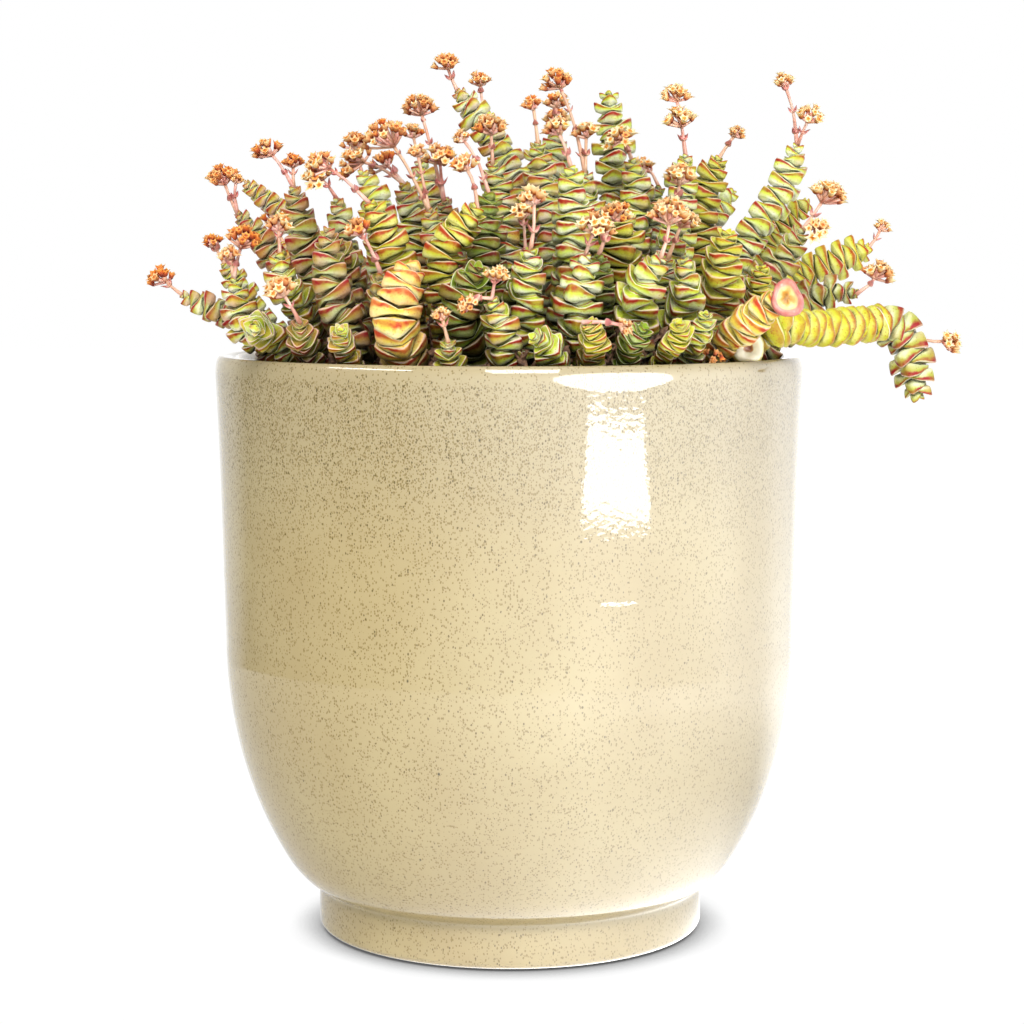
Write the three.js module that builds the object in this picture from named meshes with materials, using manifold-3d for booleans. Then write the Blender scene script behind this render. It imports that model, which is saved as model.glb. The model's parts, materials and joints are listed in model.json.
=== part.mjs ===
// A stacked-leaf succulent of the jade necklace kind in a round glazed stoneware pot.
// Millimetres, +Z up. The origin is the middle of the pot's flat underside.
// The photograph's camera looked along +Y, so the front of the plant is at -Y.

import * as THREE from 'three';
import { mergeVertices } from 'three/addons/utils/BufferGeometryUtils.js';
import Module from 'manifold-3d';

const wasm = await Module();
wasm.setup();

// Driving dimensions of the pot
const POT = {
  rimRadius: 75,
  height: 147.9,
  wall: 5.6,
  rimRounding: 2.5,
  footRadius: 49.7,
  footHeight: 11,
  footRounding: 2,
  shoulder: [[50.7, 11.5], [54.3, 14]],
  bellyRadius: 73.3,
  bellyHeight: 75,
  bellyDrop: 92,
  floor: 17,
  sides: 32,
};

// Driving dimensions of the soil
const SOIL = {
  level: 134,
  dome: 1.6,
  lumps: 0.7,
  fit: 0.3,
  holeMouth: 7,
  holeBottom: 4.2,
  holeDepth: 9,
};

// Driving dimensions of the plant
const CROWN = { radius: 4.1, foot: 2.8, rise: 2, sides: 6 };
const LEAF = {
  closest: 0.5,
  widest: 0.64,
  shoulder: 0.76,
  waist: 0.45,
  lift: 0.14,
  taper: [0.4, 0.62, 0.85],
  pairsInFront: 6,
  pairsBehind: 5,
  behind: -15,
};
const WOOD = { radius: 1.7, length: 15, step: 15 };
const STALK = { radius: 0.8, step: 20, gap: 0.3, sunk: 1.5 };
const FLORET = { core: 0.55, uneven: 0.06, manyFrom: 11.5 };

// A spray is a piece of its own where its widest head is at least this wide
const OWN_SPRAY = 9;

// Driving values of the way that the crowded stems make room for each other
const ROOM = { step: 4, gap: 0.7, turns: 260, give: 0.4, most: 1.2, home: 0.012, even: 0.25, free: 14 };

// Colours
const COLOUR = {
  glaze: '#b3aa98',
  soil: '#4a3a2c',
  green: '#93a24f',
  deep: '#6f8a45',
  lime: '#b2b255',
  gold: '#c79a4a',
  rose: '#a98a5c',
  flower: '#a5653c',
};

// The plants. Each has its place in the soil and its stems, and each stem has a leaf colour,
// the width of a pair of leaves, the points that it grows through and its flower heads,
// each with its place and its width.
const PLANTS = [
  plant(-50, -12,
    stem('rose', 9.5, [[-67, -14, 156], [-75, -14, 160], [-82, -12, 163]], [[-88, -11, 168, 9]]),
    stem('green', 9.5, [[-66, -3, 160], [-73, -3, 171]], [[-76, -3, 177, 7]])),
  plant(-48, -34,
    stem('green', 10.5, [[-64, -38, 153], [-67, -36, 166]], [[-64, -36, 177, 12], [-68, -36, 173, 7]]),
    stem('green', 11, [[-57, -45, 152], [-58, -57, 154]]),
    stem('rose', 10, [[-48, -55, 150], [-48, -61, 155]], [[-53, -64, 164, 10]]),
    stem('green', 10.5, [[-55, -44, 160], [-56, -44, 171]], [[-56, -44, 179, 8]])),
  plant(-42, 6,
    stem('rose', 9.5, [[-60, 8, 172], [-70, 8, 184]], [[-74, 8, 194, 11], [-70, 6, 193, 5]]),
    stem('rose', 12.5, [[-52, -4, 174], [-55, -4, 190]], [[-62, -4, 200, 10], [-55, -4, 197, 7]]),
    stem('green', 9, [[-56, 24, 178], [-70, 26, 192]])),
  plant(-34, -46,
    stem('green', 9.5, [[-41, -60, 150], [-41, -64, 154]]),
    stem('rose', 12.5, [[-43, -46, 160], [-44, -46, 178]]),
    stem('rose', 11.5, [[-37, -31, 165], [-40, -34, 177]])),
  plant(-30, -12,
    stem('rose', 11.5, [[-40, -13, 172], [-43, -12, 187]], [[-48, -17, 193, 10]]),
    stem('green', 12, [[-24, -6, 175], [-27, -6, 191]], [[-40, -6, 197, 12], [-33, -4, 197, 10]])),
  plant(-26, -36,
    stem('lime', 13.5, [[-28, -38, 168], [-34, -38, 185]], [[-46, -38, 195, 11]]),
    stem('rose', 9.5, [[-33, -52, 157], [-32, -54, 166]], [[-37, -56, 178, 9]]),
    stem('gold', 16, [[-28, -61, 150], [-26, -63, 160], [-22, -60, 169]])),
  plant(-14, -14,
    stem('rose', 10.5, [[-15, 6, 174], [-17, 6, 187]], [[-18, 2, 199, 11], [-23, 8, 212, 12]]),
    stem('green', 10, [[-17, -20, 170], [-20, -19, 184]], [[-31, -20, 203, 16], [-23, -18, 199, 6]])),
  plant(-12, -40,
    stem('lime', 13, [[-19, -42, 169], [-9, -42, 184]], [[-12, -42, 195, 8]]),
    stem('deep', 14.5, [[-13, -50, 156], [-4, -56, 169]]),
    stem('green', 9.5, [[-18, -64, 149], [-18, -67, 153]], [[-19, -68, 160, 6]])),
  plant(0, 19,
    stem('green', 11, [[4, 5, 183], [-3, 8, 200], [-14, 10, 215]], [[-17, 10, 223, 9]]),
    stem('green', 9, [[-2, 32, 194], [-7, 32, 212]], [[-8, 32, 220, 8]]),
    stem('green', 12, [[10, 22, 188], [12, 24, 206]], [[12, 26, 214, 9]]),
    stem('green', 11, [[-18, 24, 182], [-24, 28, 198]], [[-26, 30, 206, 8]])),
  plant(0, -22,
    stem('deep', 13, [[-6, -26, 172], [-5, -26, 188]], [[-12, -24, 202, 6]]),
    stem('green', 11, [[-1, -10, 182], [-3, -10, 196]], [[-4, -10, 206, 11]])),
  plant(6, -48,
    stem('deep', 10.5, [[2, -44, 158], [4, -44, 171]], [[3, -46, 184, 8]]),
    stem('green', 12.5, [[8, -56, 160], [8, -58, 172]], [[7, -58, 186, 9]]),
    stem('green', 11.5, [[6, -63, 154], [1, -66, 164]], [[1, -68, 170, 7], [-8, -70, 162, 7]])),
  plant(18, -28,
    stem('green', 12.5, [[16, -34, 168], [15, -34, 194]], [[11, -34, 204, 9]]),
    stem('green', 11, [[7, -12, 189], [6, -12, 201]], [[5, -12, 211, 7]]),
    stem('deep', 10.5, [[24, -47, 157], [23, -48, 172]], [[27, -48, 183, 10]])),
  plant(20, -54,
    stem('green', 13, [[16, -59, 156], [17, -56, 171]], [[20, -60, 179, 12]]),
    stem('green', 11, [[12, -64, 150], [5, -70, 154]]),
    stem('lime', 9.5, [[22, -66, 149], [20, -70, 154]], [[28, -72, 154, 6]])),
  plant(24, 0,
    stem('green', 12, [[21, 0, 178], [20, 0, 194]], [[20, 0, 205, 9], [12, 4, 218, 11]]),
    stem('lime', 14, [[28, -24, 170], [28, -27, 185]]),
    stem('green', 12.5, [[28, 12, 190], [26, 14, 215]]),
    stem('green', 12, [[33, 2, 183], [32, 2, 197]], [[28, -6, 203, 10]])),
  plant(31, -50,
    stem('green', 14, [[27, -59, 158], [35, -60, 170]], [[37, -60, 182, 13]]),
    stem('deep', 10, [[29, -65, 150], [32, -68, 155]]),
    stem('lime', 9.5, [[39, -62, 150], [39, -66, 155]])),
  plant(42, -12,
    stem('green', 12, [[38, -22, 170], [40, -24, 184]], [[41, -24, 193, 11]]),
    stem('green', 10.5, [[41, -2, 181], [43, -2, 198]], [[42, -2, 208, 11], [41, -2, 214, 9]]),
    stem('green', 11, [[37, 18, 178], [39, 20, 191]], [[34, 20, 197, 7]])),
  plant(46, -36,
    stem('green', 12.5, [[42, -54, 158], [40, -56, 169]]),
    stem('lime', 13.5, [[49, -45, 162], [50, -48, 175]]),
    stem('green', 10, [[45, -35, 162], [43, -36, 172]], [[45, -38, 182, 10]]),
    stem('green', 9.5, [[44, -56, 150], [45, -61, 158]]),
    stem('gold', 14, [[52, -52, 153], [61, -58, 161]]),
    stem('gold', 13, [[60, -42, 154], [72, -36, 155], [85, -29, 156], [95, -24, 156], [99, -24, 149],
      [101, -24, 138]], [[109, -25, 152, 9, 14]], 12)),
  plant(50, 6,
    stem('lime', 13, [[49, 12, 182], [54, 12, 198]], [[59, 12, 205, 6]]),
    stem('green', 12, [[58, 3, 171], [70, 6, 190], [74, 8, 201]], [[70, 8, 218, 7], [77, 4, 209, 10]]),
    stem('lime', 12, [[68, 31, 177], [80, 34, 187]])),
  plant(55, -14,
    stem('rose', 12, [[68, -16, 166], [74, -18, 178]], [[80, -18, 188, 13], [76, -28, 179, 8]]),
    stem('lime', 9.5, [[60, -33, 158], [61, -36, 168]]),
    stem('rose', 11.5, [[74, -12, 161], [86, -14, 163]], [[92, -14, 169, 10]]),
    stem('lime', 12, [[72, 12, 165], [84, 15, 171], [94, 18, 175]], [[98, 20, 181, 6]])),
  plant(-38, 38,
    stem('green', 11, [[-50, 46, 165], [-62, 54, 176]], [[-66, 57, 184, 9]]),
    stem('rose', 11, [[-36, 56, 160], [-42, 66, 172]]),
    stem('green', 12, [[-34, 34, 178], [-40, 38, 195]], [[-42, 40, 204, 10]]),
    stem('deep', 13.5, [[-46, 26, 154], [-50, 18, 166]], [], 4),
    stem('lime', 13, [[-29, 47, 155], [-24, 56, 166]], [], 4)),
  plant(-8, 48,
    stem('green', 12, [[-12, 60, 160], [-16, 72, 170]], [[-17, 76, 178, 10]]),
    stem('green', 14, [[-14, 36, 158], [-16, 30, 174]], [], 4),
    stem('lime', 12, [[6, 62, 158], [8, 74, 164]])),
  plant(26, 44,
    stem('green', 12, [[30, 58, 162], [36, 68, 176]], [[38, 72, 185, 11]]),
    stem('rose', 11, [[12, 42, 184], [12, 46, 202]], [[13, 48, 211, 9]]),
    stem('deep', 13.5, [[30, 32, 158], [33, 24, 172]], [], 4),
    stem('green', 13, [[22, 54, 150], [16, 62, 162]], [], 4)),
  plant(50, 30,
    stem('lime', 12, [[58, 44, 160], [68, 54, 168]], [[72, 58, 175, 9]]),
    stem('green', 11, [[52, 32, 176], [60, 38, 190]]),
    stem('green', 13, [[47, 39, 153], [44, 52, 165]], [], 4)),
];

function plant(x, y, ...stems) {
  const usual = y > LEAF.behind ? LEAF.pairsBehind : LEAF.pairsInFront;
  return { x, y, stems: stems.map((entry) => ({ ...entry, pairs: entry.pairs ?? usual })) };
}

function stem(tone, width, route, heads = [], pairs = null) {
  return { tone, width, route, heads, pairs };
}

// Solids

function toSolid(geometry) {
  geometry.deleteAttribute('normal');
  geometry.deleteAttribute('uv');
  const merged = mergeVertices(geometry, 1e-4);
  const vertProperties = new Float32Array(merged.attributes.position.array);
  const triVerts = new Uint32Array(merged.index.array);
  return new wasm.Manifold(new wasm.Mesh({ numProp: 3, vertProperties, triVerts }));
}

function toGeometry(solid) {
  const { vertProperties, triVerts } = solid.getMesh();
  const geometry = new THREE.BufferGeometry();
  geometry.setAttribute('position', new THREE.BufferAttribute(new Float32Array(vertProperties), 3));
  geometry.setIndex(new THREE.BufferAttribute(new Uint32Array(triVerts), 1));
  geometry.computeVertexNormals();
  return geometry;
}

function joinAll(solids) {
  return solids.reduce((whole, solid) => whole.add(solid));
}

function makeMesh(name, geometry, colour, roughness) {
  const material = new THREE.MeshStandardMaterial({ color: colour, roughness, metalness: 0 });
  const mesh = new THREE.Mesh(geometry, material);
  mesh.name = name;
  return mesh;
}

// A closed skin over rings of points, closed by a fan round a middle point at each end.
// A ring has a corner on each of its four diagonals, and may have a tip between two corners.
function skin(rings, topMiddle) {
  const points = [];
  const faces = [];
  const put = (...corners) => faces.push(...corners);
  const sides = rings.map((spots) => {
    const first = points.length;
    points.push(...spots.map(({ point }) => point));
    const corners = spots.flatMap(({ tip }, k) => (tip ? [] : [k]));
    return corners.map((corner, i) => {
      const next = corners[(i + 1) % 4];
      const between = (corner + 1) % spots.length;
      const side = between === next ? [corner, next] : [corner, between, next];
      return side.map((k) => first + k);
    });
  });
  for (let k = 0; k + 1 < rings.length; k += 1) {
    for (let i = 0; i < 4; i += 1) strip(put, sides[k][i], sides[k + 1][i]);
  }
  const around = (sideList) => sideList.flatMap((side) => side.slice(0, -1));
  const [low, high] = [around(sides[0]), around(sides[sides.length - 1])];
  const middle = (ring) => middleOf(ring.map((k) => points[k]));
  const ends = [middle(low), topMiddle ?? middle(high)];
  fan(put, low.reverse(), points.push(ends[0]) - 1);
  fan(put, high, points.push(ends[1]) - 1);
  const geometry = new THREE.BufferGeometry();
  const flat = points.flatMap((point) => [point.x, point.y, point.z]);
  geometry.setAttribute('position', new THREE.Float32BufferAttribute(flat, 3));
  geometry.setIndex(faces);
  return toSolid(geometry);
}

// The faces between one side of a ring and the same side of the ring above it.
function strip(put, low, high) {
  const [a, b] = [low[0], low[low.length - 1]];
  const [c, d] = [high[0], high[high.length - 1]];
  if (low.length === 3) {
    put(low[1], b, d);
    put(low[1], d, c);
    put(a, low[1], c);
  } else if (high.length === 3) {
    put(a, b, high[1]);
    put(b, d, high[1]);
    put(a, high[1], c);
  } else {
    put(a, b, d);
    put(a, d, c);
  }
}

function middleOf(points) {
  const middle = new THREE.Vector3();
  points.forEach((point) => middle.addScaledVector(point, 1 / points.length));
  return middle;
}

function fan(put, around, middle) {
  around.forEach((corner, k) => put(corner, around[(k + 1) % around.length], middle));
}

// Routes

const GOLDEN = Math.PI * (3 - Math.sqrt(5));
const clamp = (value, low, high) => Math.min(high, Math.max(low, value));

function evenPoints(through) {
  const curve = new THREE.CatmullRomCurve3(through, false, 'catmullrom', 0.5);
  const count = Math.max(2, Math.round(curve.getLength() / ROOM.step));
  return curve.getSpacedPoints(count);
}

// A stem as a chain of balls along the line that it would grow on if it were alone.
function stemChain(entry, family, crown) {
  const start = [new THREE.Vector3(...crown, SOIL.level - 6), new THREE.Vector3(...crown, SOIL.level + 5)];
  const home = evenPoints([...start, ...entry.route.map((point) => new THREE.Vector3(...point))]);
  const last = home.length - 1;
  const radius = home.map((point, k) => {
    if (k * ROOM.step < WOOD.length) return WOOD.radius;
    return (entry.width / 2) * (k === last ? 0.75 : 1);
  });
  return { entry, family, home, radius, held: 2, parent: null };
}

// A flower stalk as a chain of balls from its stem, the last one as wide as its head. It
// starts at the stem's tip, or a given length before it.
function stalkChain([x, y, z, size, before = 0], parent) {
  const { home, family } = parent;
  const root = home.length - 1 - Math.round(before / ROOM.step);
  const foot = home[root];
  const outward = foot.clone().sub(home[root - 1]).normalize();
  const end = new THREE.Vector3(x, y, z);
  const half = foot.clone().lerp(end, 0.45).addScaledVector(outward, foot.distanceTo(end) * 0.12);
  const points = evenPoints([foot, half, end]);
  const radius = points.map((point, k) => (k === points.length - 1 ? size / 2 : 1.2));
  return { size, family, home: points, radius, held: 1, parent, root, onSide: before > 0 };
}

function makeChains() {
  const chains = [];
  PLANTS.forEach(({ x, y, stems }, family) => {
    stems.forEach((entry) => {
      const own = stemChain(entry, family, [x, y]);
      own.heads = entry.heads.map((head) => stalkChain(head, own));
      chains.push(own, ...own.heads);
    });
  });
  chains.forEach((chain) => {
    chain.shift = chain.home.map(() => new THREE.Vector3());
  });
  return chains;
}

// The balls of all chains, and the pairs of them that come near each other.
function makeBalls(chains) {
  return chains.flatMap((chain) => chain.home.map((home, k) => ({
    chain,
    k,
    home,
    radius: chain.radius[k],
    shift: chain.shift[k],
    place: home.clone(),
    push: new THREE.Vector3(),
    free: k < chain.held ? 0 : clamp(((k - chain.held + 1) * ROOM.step) / ROOM.free, 0, 1),
  })));
}

function mayTouch(one, other) {
  const [a, b] = [one.chain, other.chain];
  if (a === b || a.parent === b || b.parent === a) return true;
  if (a.parent && a.parent === b.parent) return true;
  return a.family === b.family && Math.min(one.free, other.free) < 1;
}

function nearPairs(balls, margin) {
  const pairs = [];
  for (let i = 0; i < balls.length; i += 1) {
    for (let j = i + 1; j < balls.length; j += 1) {
      const reach = balls[i].radius + balls[j].radius + margin;
      if (balls[i].place.distanceToSquared(balls[j].place) < reach * reach
        && !mayTouch(balls[i], balls[j])) pairs.push([balls[i], balls[j]]);
    }
  }
  return pairs;
}

const away = new THREE.Vector3();

function pushApart([one, other]) {
  away.subVectors(one.place, other.place);
  const between = Math.max(away.length(), 1e-6);
  const deep = one.radius + other.radius + ROOM.gap - between;
  const both = one.free + other.free;
  if (deep <= 0 || both === 0) return;
  away.multiplyScalar((deep * ROOM.give) / between / both);
  one.push.addScaledVector(away, one.free);
  other.push.addScaledVector(away, -other.free);
}

// How deep a ball is in the pot's wall, seen as an upright with a round top, and the way out.
function intoWall({ place, radius }) {
  const out = Math.hypot(place.x, place.y);
  const thick = POT.wall / 2;
  const aside = out - (POT.rimRadius - thick);
  const above = place.z - Math.min(place.z, POT.height - thick);
  const between = Math.max(Math.hypot(aside, above), 1e-6);
  const way = new THREE.Vector3((place.x / out) * aside, (place.y / out) * aside, above);
  return { deep: thick + radius + ROOM.gap - between, way: way.multiplyScalar(1 / between) };
}

// How deep a ball is in the soil. The crowns and the stems' bare feet stand in it.
function intoSoil({ place, radius, free }) {
  const inside = Math.hypot(place.x, place.y) < POT.rimRadius - POT.wall / 2;
  return inside && free > 0.3 ? SOIL.level + SOIL.dome + radius + ROOM.gap - place.z : 0;
}

function pushOff(ball) {
  const { deep, way } = intoWall(ball);
  if (deep > 0 && ball.free > 0) ball.push.addScaledVector(way, deep * ROOM.give);
  ball.push.z += Math.max(0, intoSoil(ball)) * ROOM.give;
}

// Smooths the shifts along a chain, with its foot held and a stalk's foot on its stem.
function evenOut({ shift, held, parent, root }) {
  const before = shift.map((one) => one.clone());
  const last = shift.length - 1;
  for (let k = held; k <= last; k += 1) {
    const middle = before[k - 1].clone().add(before[Math.min(k + 1, last)]).multiplyScalar(0.5);
    shift[k].lerp(middle, ROOM.even).multiplyScalar(1 - ROOM.home);
  }
  if (parent) shift[0].copy(parent.shift[root]);
}

// Lets the crowded stems make room for each other, and notes what room each one has in the end.
function settle(chains) {
  const balls = makeBalls(chains);
  let pairs = [];
  for (let turn = 0; turn < ROOM.turns; turn += 1) {
    if (turn % 10 === 0) pairs = nearPairs(balls, ROOM.gap + 6);
    pairs.forEach(pushApart);
    balls.forEach((ball) => {
      pushOff(ball);
      ball.push.clampLength(0, ROOM.most);
      ball.shift.add(ball.push);
      ball.push.set(0, 0, 0);
    });
    chains.forEach(evenOut);
    balls.forEach((ball) => ball.place.addVectors(ball.home, ball.shift));
  }
  nearPairs(balls, ROOM.gap).forEach(squeeze);
  balls.forEach((ball) => {
    ball.radius -= Math.max(0, intoWall(ball).deep - ROOM.gap / 2);
    ball.radius -= Math.max(0, intoSoil(ball) - ROOM.gap / 2);
  });
  balls.forEach(({ chain, k, place, radius }) => {
    chain.home[k] = place;
    chain.radius[k] = radius;
  });
}

function squeeze([one, other]) {
  const between = one.place.distanceTo(other.place);
  const deep = one.radius + other.radius + ROOM.gap / 2 - between;
  if (deep <= 0) return;
  const wide = Math.max(one.radius - WOOD.radius, 0);
  const share = wide / Math.max(wide + Math.max(other.radius - WOOD.radius, 0), 1e-6);
  one.radius -= deep * share;
  other.radius -= deep * (1 - share);
}

// The settled line of a chain, with a frame at any length along it.
class Line {
  constructor({ home, radius }, twist) {
    this.points = home;
    this.radius = radius;
    this.steps = [0];
    for (let k = 1; k < home.length; k += 1) {
      this.steps.push(this.steps[k - 1] + home[k].distanceTo(home[k - 1]));
    }
    this.length = this.steps[home.length - 1];
    this.along = home.map((point, k) => {
      const before = home[Math.max(k - 1, 0)];
      const after = home[Math.min(k + 1, home.length - 1)];
      return after.clone().sub(before).normalize();
    });
    let side = new THREE.Vector3(Math.cos(twist), Math.sin(twist), 0);
    this.side = this.along.map((along) => {
      side = side.clone().addScaledVector(along, -along.dot(side)).normalize();
      return side;
    });
  }

  at(length) {
    const { steps } = this;
    let k = 0;
    while (k < steps.length - 2 && steps[k + 1] < length) k += 1;
    const part = (length - steps[k]) / (steps[k + 1] - steps[k]);
    const along = this.along[k].clone().lerp(this.along[k + 1], clamp(part, 0, 1)).normalize();
    const side = this.side[k].clone().lerp(this.side[k + 1], clamp(part, 0, 1));
    side.addScaledVector(along, -along.dot(side)).normalize();
    return {
      place: this.points[k].clone().lerp(this.points[k + 1], part),
      room: Math.min(this.radius[k], this.radius[k + 1]),
      along,
      side,
      across: along.clone().cross(side),
    };
  }
}

// A ring of points round a frame, each at an angle in eighths of a turn.
function ring(frame, spokes) {
  return spokes.map(({ eighths, radius, lift = 0, tip = false }) => {
    const angle = (eighths * Math.PI) / 4;
    const point = frame.place.clone()
      .addScaledVector(frame.side, radius * Math.cos(angle))
      .addScaledVector(frame.across, radius * Math.sin(angle))
      .addScaledVector(frame.along, lift);
    return { point, tip };
  });
}

function squareRing(frame, radius) {
  return ring(frame, [1, 3, 5, 7].map((eighths) => ({ eighths, radius })));
}

// The edge of a pair of leaves that are joined round the stem: two raised tips and four shoulders.
function pairRing(frame, reach, turned) {
  const tips = turned ? [2, 6] : [0, 4];
  return ring(frame, [0, 1, 2, 3, 4, 5, 6, 7].flatMap((eighths) => {
    if (tips.includes(eighths)) return [{ eighths, radius: reach, lift: reach * LEAF.lift, tip: true }];
    return eighths % 2 ? [{ eighths, radius: reach * LEAF.shoulder }] : [];
  }));
}

// Where the pairs of leaves sit on a stem, from its tip down to its bare foot.
function leafPairs(line, { width, pairs }) {
  const most = pairs - LEAF.taper.reduce((sum, size) => sum + 1 - size, 0);
  const pitch = clamp((line.length - WOOD.length) / most, width * LEAF.closest, width * LEAF.widest);
  const placed = [];
  let length = line.length - pitch * 0.3;
  while (placed.length < pairs && length > WOOD.length) {
    const frame = line.at(length);
    const size = LEAF.taper[placed.length] ?? 1;
    placed.push({ length, frame, reach: Math.min((width / 2) * size, frame.room) });
    const next = LEAF.taper[placed.length] ?? 1;
    length -= (pitch * (size + next)) / 2;
  }
  return placed.reverse();
}

function makeStem(chain, index) {
  const line = new Line(chain, index * GOLDEN);
  const pairs = leafPairs(line, chain.entry);
  const gap = pairs[1].length - pairs[0].length;
  const bare = pairs[0].length - gap / 2;
  const rings = [];
  const bends = Math.max(1, Math.round((bare - 1) / WOOD.step));
  for (let k = 0; k <= bends; k += 1) {
    rings.push(squareRing(line.at(1 + ((bare - 1) * k) / bends), WOOD.radius));
  }
  pairs.forEach(({ length, frame, reach }, k) => {
    rings.push(pairRing(frame, reach, k % 2 === 1));
    const after = pairs[k + 1];
    if (after) rings.push(squareRing(line.at((length + after.length) / 2), reach * LEAF.waist));
  });
  return skin(rings, line.at(line.length).place);
}

// A head of pointed florets: each face of a small ball is drawn out to a point.
function makeHead(line, reach, index) {
  const { place, along, side, across } = line.at(line.length);
  const wide = reach * 2 >= FLORET.manyFrom;
  const Ball = wide ? THREE.IcosahedronGeometry : THREE.OctahedronGeometry;
  const ball = new Ball(reach * FLORET.core, 0).attributes.position;
  const upright = new THREE.Matrix4().makeBasis(side, across, along);
  const places = [];
  for (let face = 0; face < ball.count; face += 3) {
    const corners = [0, 1, 2].map((k) => new THREE.Vector3().fromBufferAttribute(ball, face + k));
    const point = middleOf(corners).setLength(reach * (1 - FLORET.uneven * ((face * 7 + index) % 5)));
    [0, 1, 2].forEach((k) => places.push(corners[k], corners[(k + 1) % 3], point));
  }
  const flat = places.flatMap((corner) => {
    const turned = corner.clone().applyMatrix4(upright).add(place);
    return [turned.x, turned.y, turned.z];
  });
  const geometry = new THREE.BufferGeometry();
  geometry.setAttribute('position', new THREE.Float32BufferAttribute(flat, 3));
  return toSolid(geometry);
}

// A stalk from its stem's tip to the middle of its head.
function makeStalk(line, start) {
  const count = Math.max(1, Math.round((line.length - start) / STALK.step));
  const rings = [];
  for (let k = 0; k <= count; k += 1) {
    rings.push(squareRing(line.at(start + ((line.length - start) * k) / count), STALK.radius));
  }
  return skin(rings);
}

function makeSpray(heads, start, index) {
  return joinAll(heads.flatMap((chain, k) => {
    const line = new Line(chain, (index + k) * GOLDEN);
    const reach = chain.radius[chain.radius.length - 1];
    return [makeStalk(line, start), makeHead(line, reach, index + k)];
  }));
}

// The root crown that the stems of one plant grow from, standing in its hole in the soil.
function makeCrown(x, y) {
  const bottom = SOIL.level - SOIL.holeDepth + SOIL.fit;
  const top = SOIL.holeDepth + CROWN.rise;
  const profile = [[0, 0], [CROWN.foot, 0], [CROWN.radius, SOIL.holeDepth], [0, top]];
  const geometry = turned(profile, CROWN.sides);
  geometry.translate(x, y, bottom);
  return toSolid(geometry);
}

// A turned solid from a profile of radii and heights that starts and ends on the axis.
function turned(profile, sides) {
  const geometry = new THREE.LatheGeometry(profile.map(([r, z]) => new THREE.Vector2(r, z)), sides);
  return geometry.rotateX(Math.PI / 2);
}

// The pot

function bellyRadius(height) {
  const down = (POT.bellyHeight - height) / POT.bellyDrop;
  return POT.bellyRadius * Math.sqrt(1 - down * down);
}

function wallRadius(height) {
  if (height < POT.bellyHeight) return bellyRadius(height);
  const up = (height - POT.bellyHeight) / (POT.height - POT.rimRounding - POT.bellyHeight);
  return POT.bellyRadius + (POT.rimRadius - POT.bellyRadius) * up;
}

function innerProfile(fit) {
  const heights = [POT.floor, 45, POT.bellyHeight, POT.height - POT.rimRounding];
  return heights.map((height, k) => [wallRadius(height) - POT.wall - fit, height + (k ? 0 : fit)]);
}

function makePot() {
  const heights = [20, 28, 40, 56, POT.bellyHeight, POT.height - POT.rimRounding];
  const outside = heights.map((height) => [wallRadius(height), height]);
  const rounding = POT.footRounding;
  const middle = POT.rimRadius - POT.wall / 2;
  const rim = [0.7, Math.PI / 2, Math.PI - 0.7].map((angle) => [
    middle + (POT.wall / 2) * Math.cos(angle),
    POT.height - POT.rimRounding * (1 - Math.sin(angle)),
  ]);
  const profile = [
    [0, 0], [POT.footRadius - rounding * 0.7, 0], [POT.footRadius, rounding],
    [POT.footRadius, POT.footHeight], ...POT.shoulder,
    ...outside, ...rim, ...innerProfile(0).reverse(), [0, POT.floor],
  ];
  return toSolid(turned(profile, POT.sides));
}

// The soil fills the pot to below its rim, with a low rough dome and a hole for each plant.
function makeSoil() {
  const edge = innerProfile(SOIL.fit).slice(0, -1);
  const rims = [1, 0.6].map((part) => [
    (wallRadius(SOIL.level) - POT.wall - SOIL.fit) * part,
    SOIL.level + SOIL.dome * (1 - part * part),
  ]);
  const profile = [[0, POT.floor + SOIL.fit], ...edge, ...rims, [0, SOIL.level + SOIL.dome]];
  const geometry = turned(profile, POT.sides);
  const places = geometry.attributes.position;
  for (let k = 0; k < places.count; k += 1) {
    const [x, y, z] = [places.getX(k), places.getY(k), places.getZ(k)];
    const lump = SOIL.lumps * Math.sin(x * 0.21 + 1) * Math.cos(y * 0.17);
    if (z > SOIL.level - 1) places.setZ(k, z + lump);
  }
  return PLANTS.reduce((soil, { x, y }) => {
    const { holeMouth, holeBottom, holeDepth } = SOIL;
    const hole = new THREE.CylinderGeometry(holeMouth, holeBottom, holeDepth * 2, CROWN.sides);
    hole.rotateX(Math.PI / 2);
    hole.translate(x, y, SOIL.level);
    return soil.subtract(toSolid(hole));
  }, toSolid(geometry));
}

// The whole object

function addPlants(group) {
  const chains = makeChains();
  settle(chains);
  const stems = chains.filter((chain) => chain.entry);
  PLANTS.forEach(({ x, y }, family) => {
    const solids = [makeCrown(x, y)];
    const tones = [];
    stems.forEach((chain, index) => {
      if (chain.family !== family) return;
      solids.push(makeStem(chain, index));
      tones.push(chain.entry.tone);
      const widest = Math.max(0, ...chain.heads.map(({ size }) => size));
      if (widest >= OWN_SPRAY && !chain.heads.some(({ onSide }) => onSide)) {
        const spray = makeSpray(chain.heads, STALK.gap, index);
        const name = `spray_${label(family + 1)}_${tones.length}`;
        group.add(makeMesh(name, toGeometry(spray), COLOUR.flower, 0.8));
      } else if (widest) {
        solids.push(makeSpray(chain.heads, -STALK.sunk, index));
      }
    });
    const name = `plant_${label(family + 1)}`;
    group.add(makeMesh(name, toGeometry(joinAll(solids)), COLOUR[tones[0]], 0.5));
  });
}

function label(number) {
  return String(number).padStart(2, '0');
}

const object = new THREE.Group();
object.add(makeMesh('pot', toGeometry(makePot()), COLOUR.glaze, 0.2));
object.add(makeMesh('soil', toGeometry(makeSoil()), COLOUR.soil, 0.95));
addPlants(object);

export default object;
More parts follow.
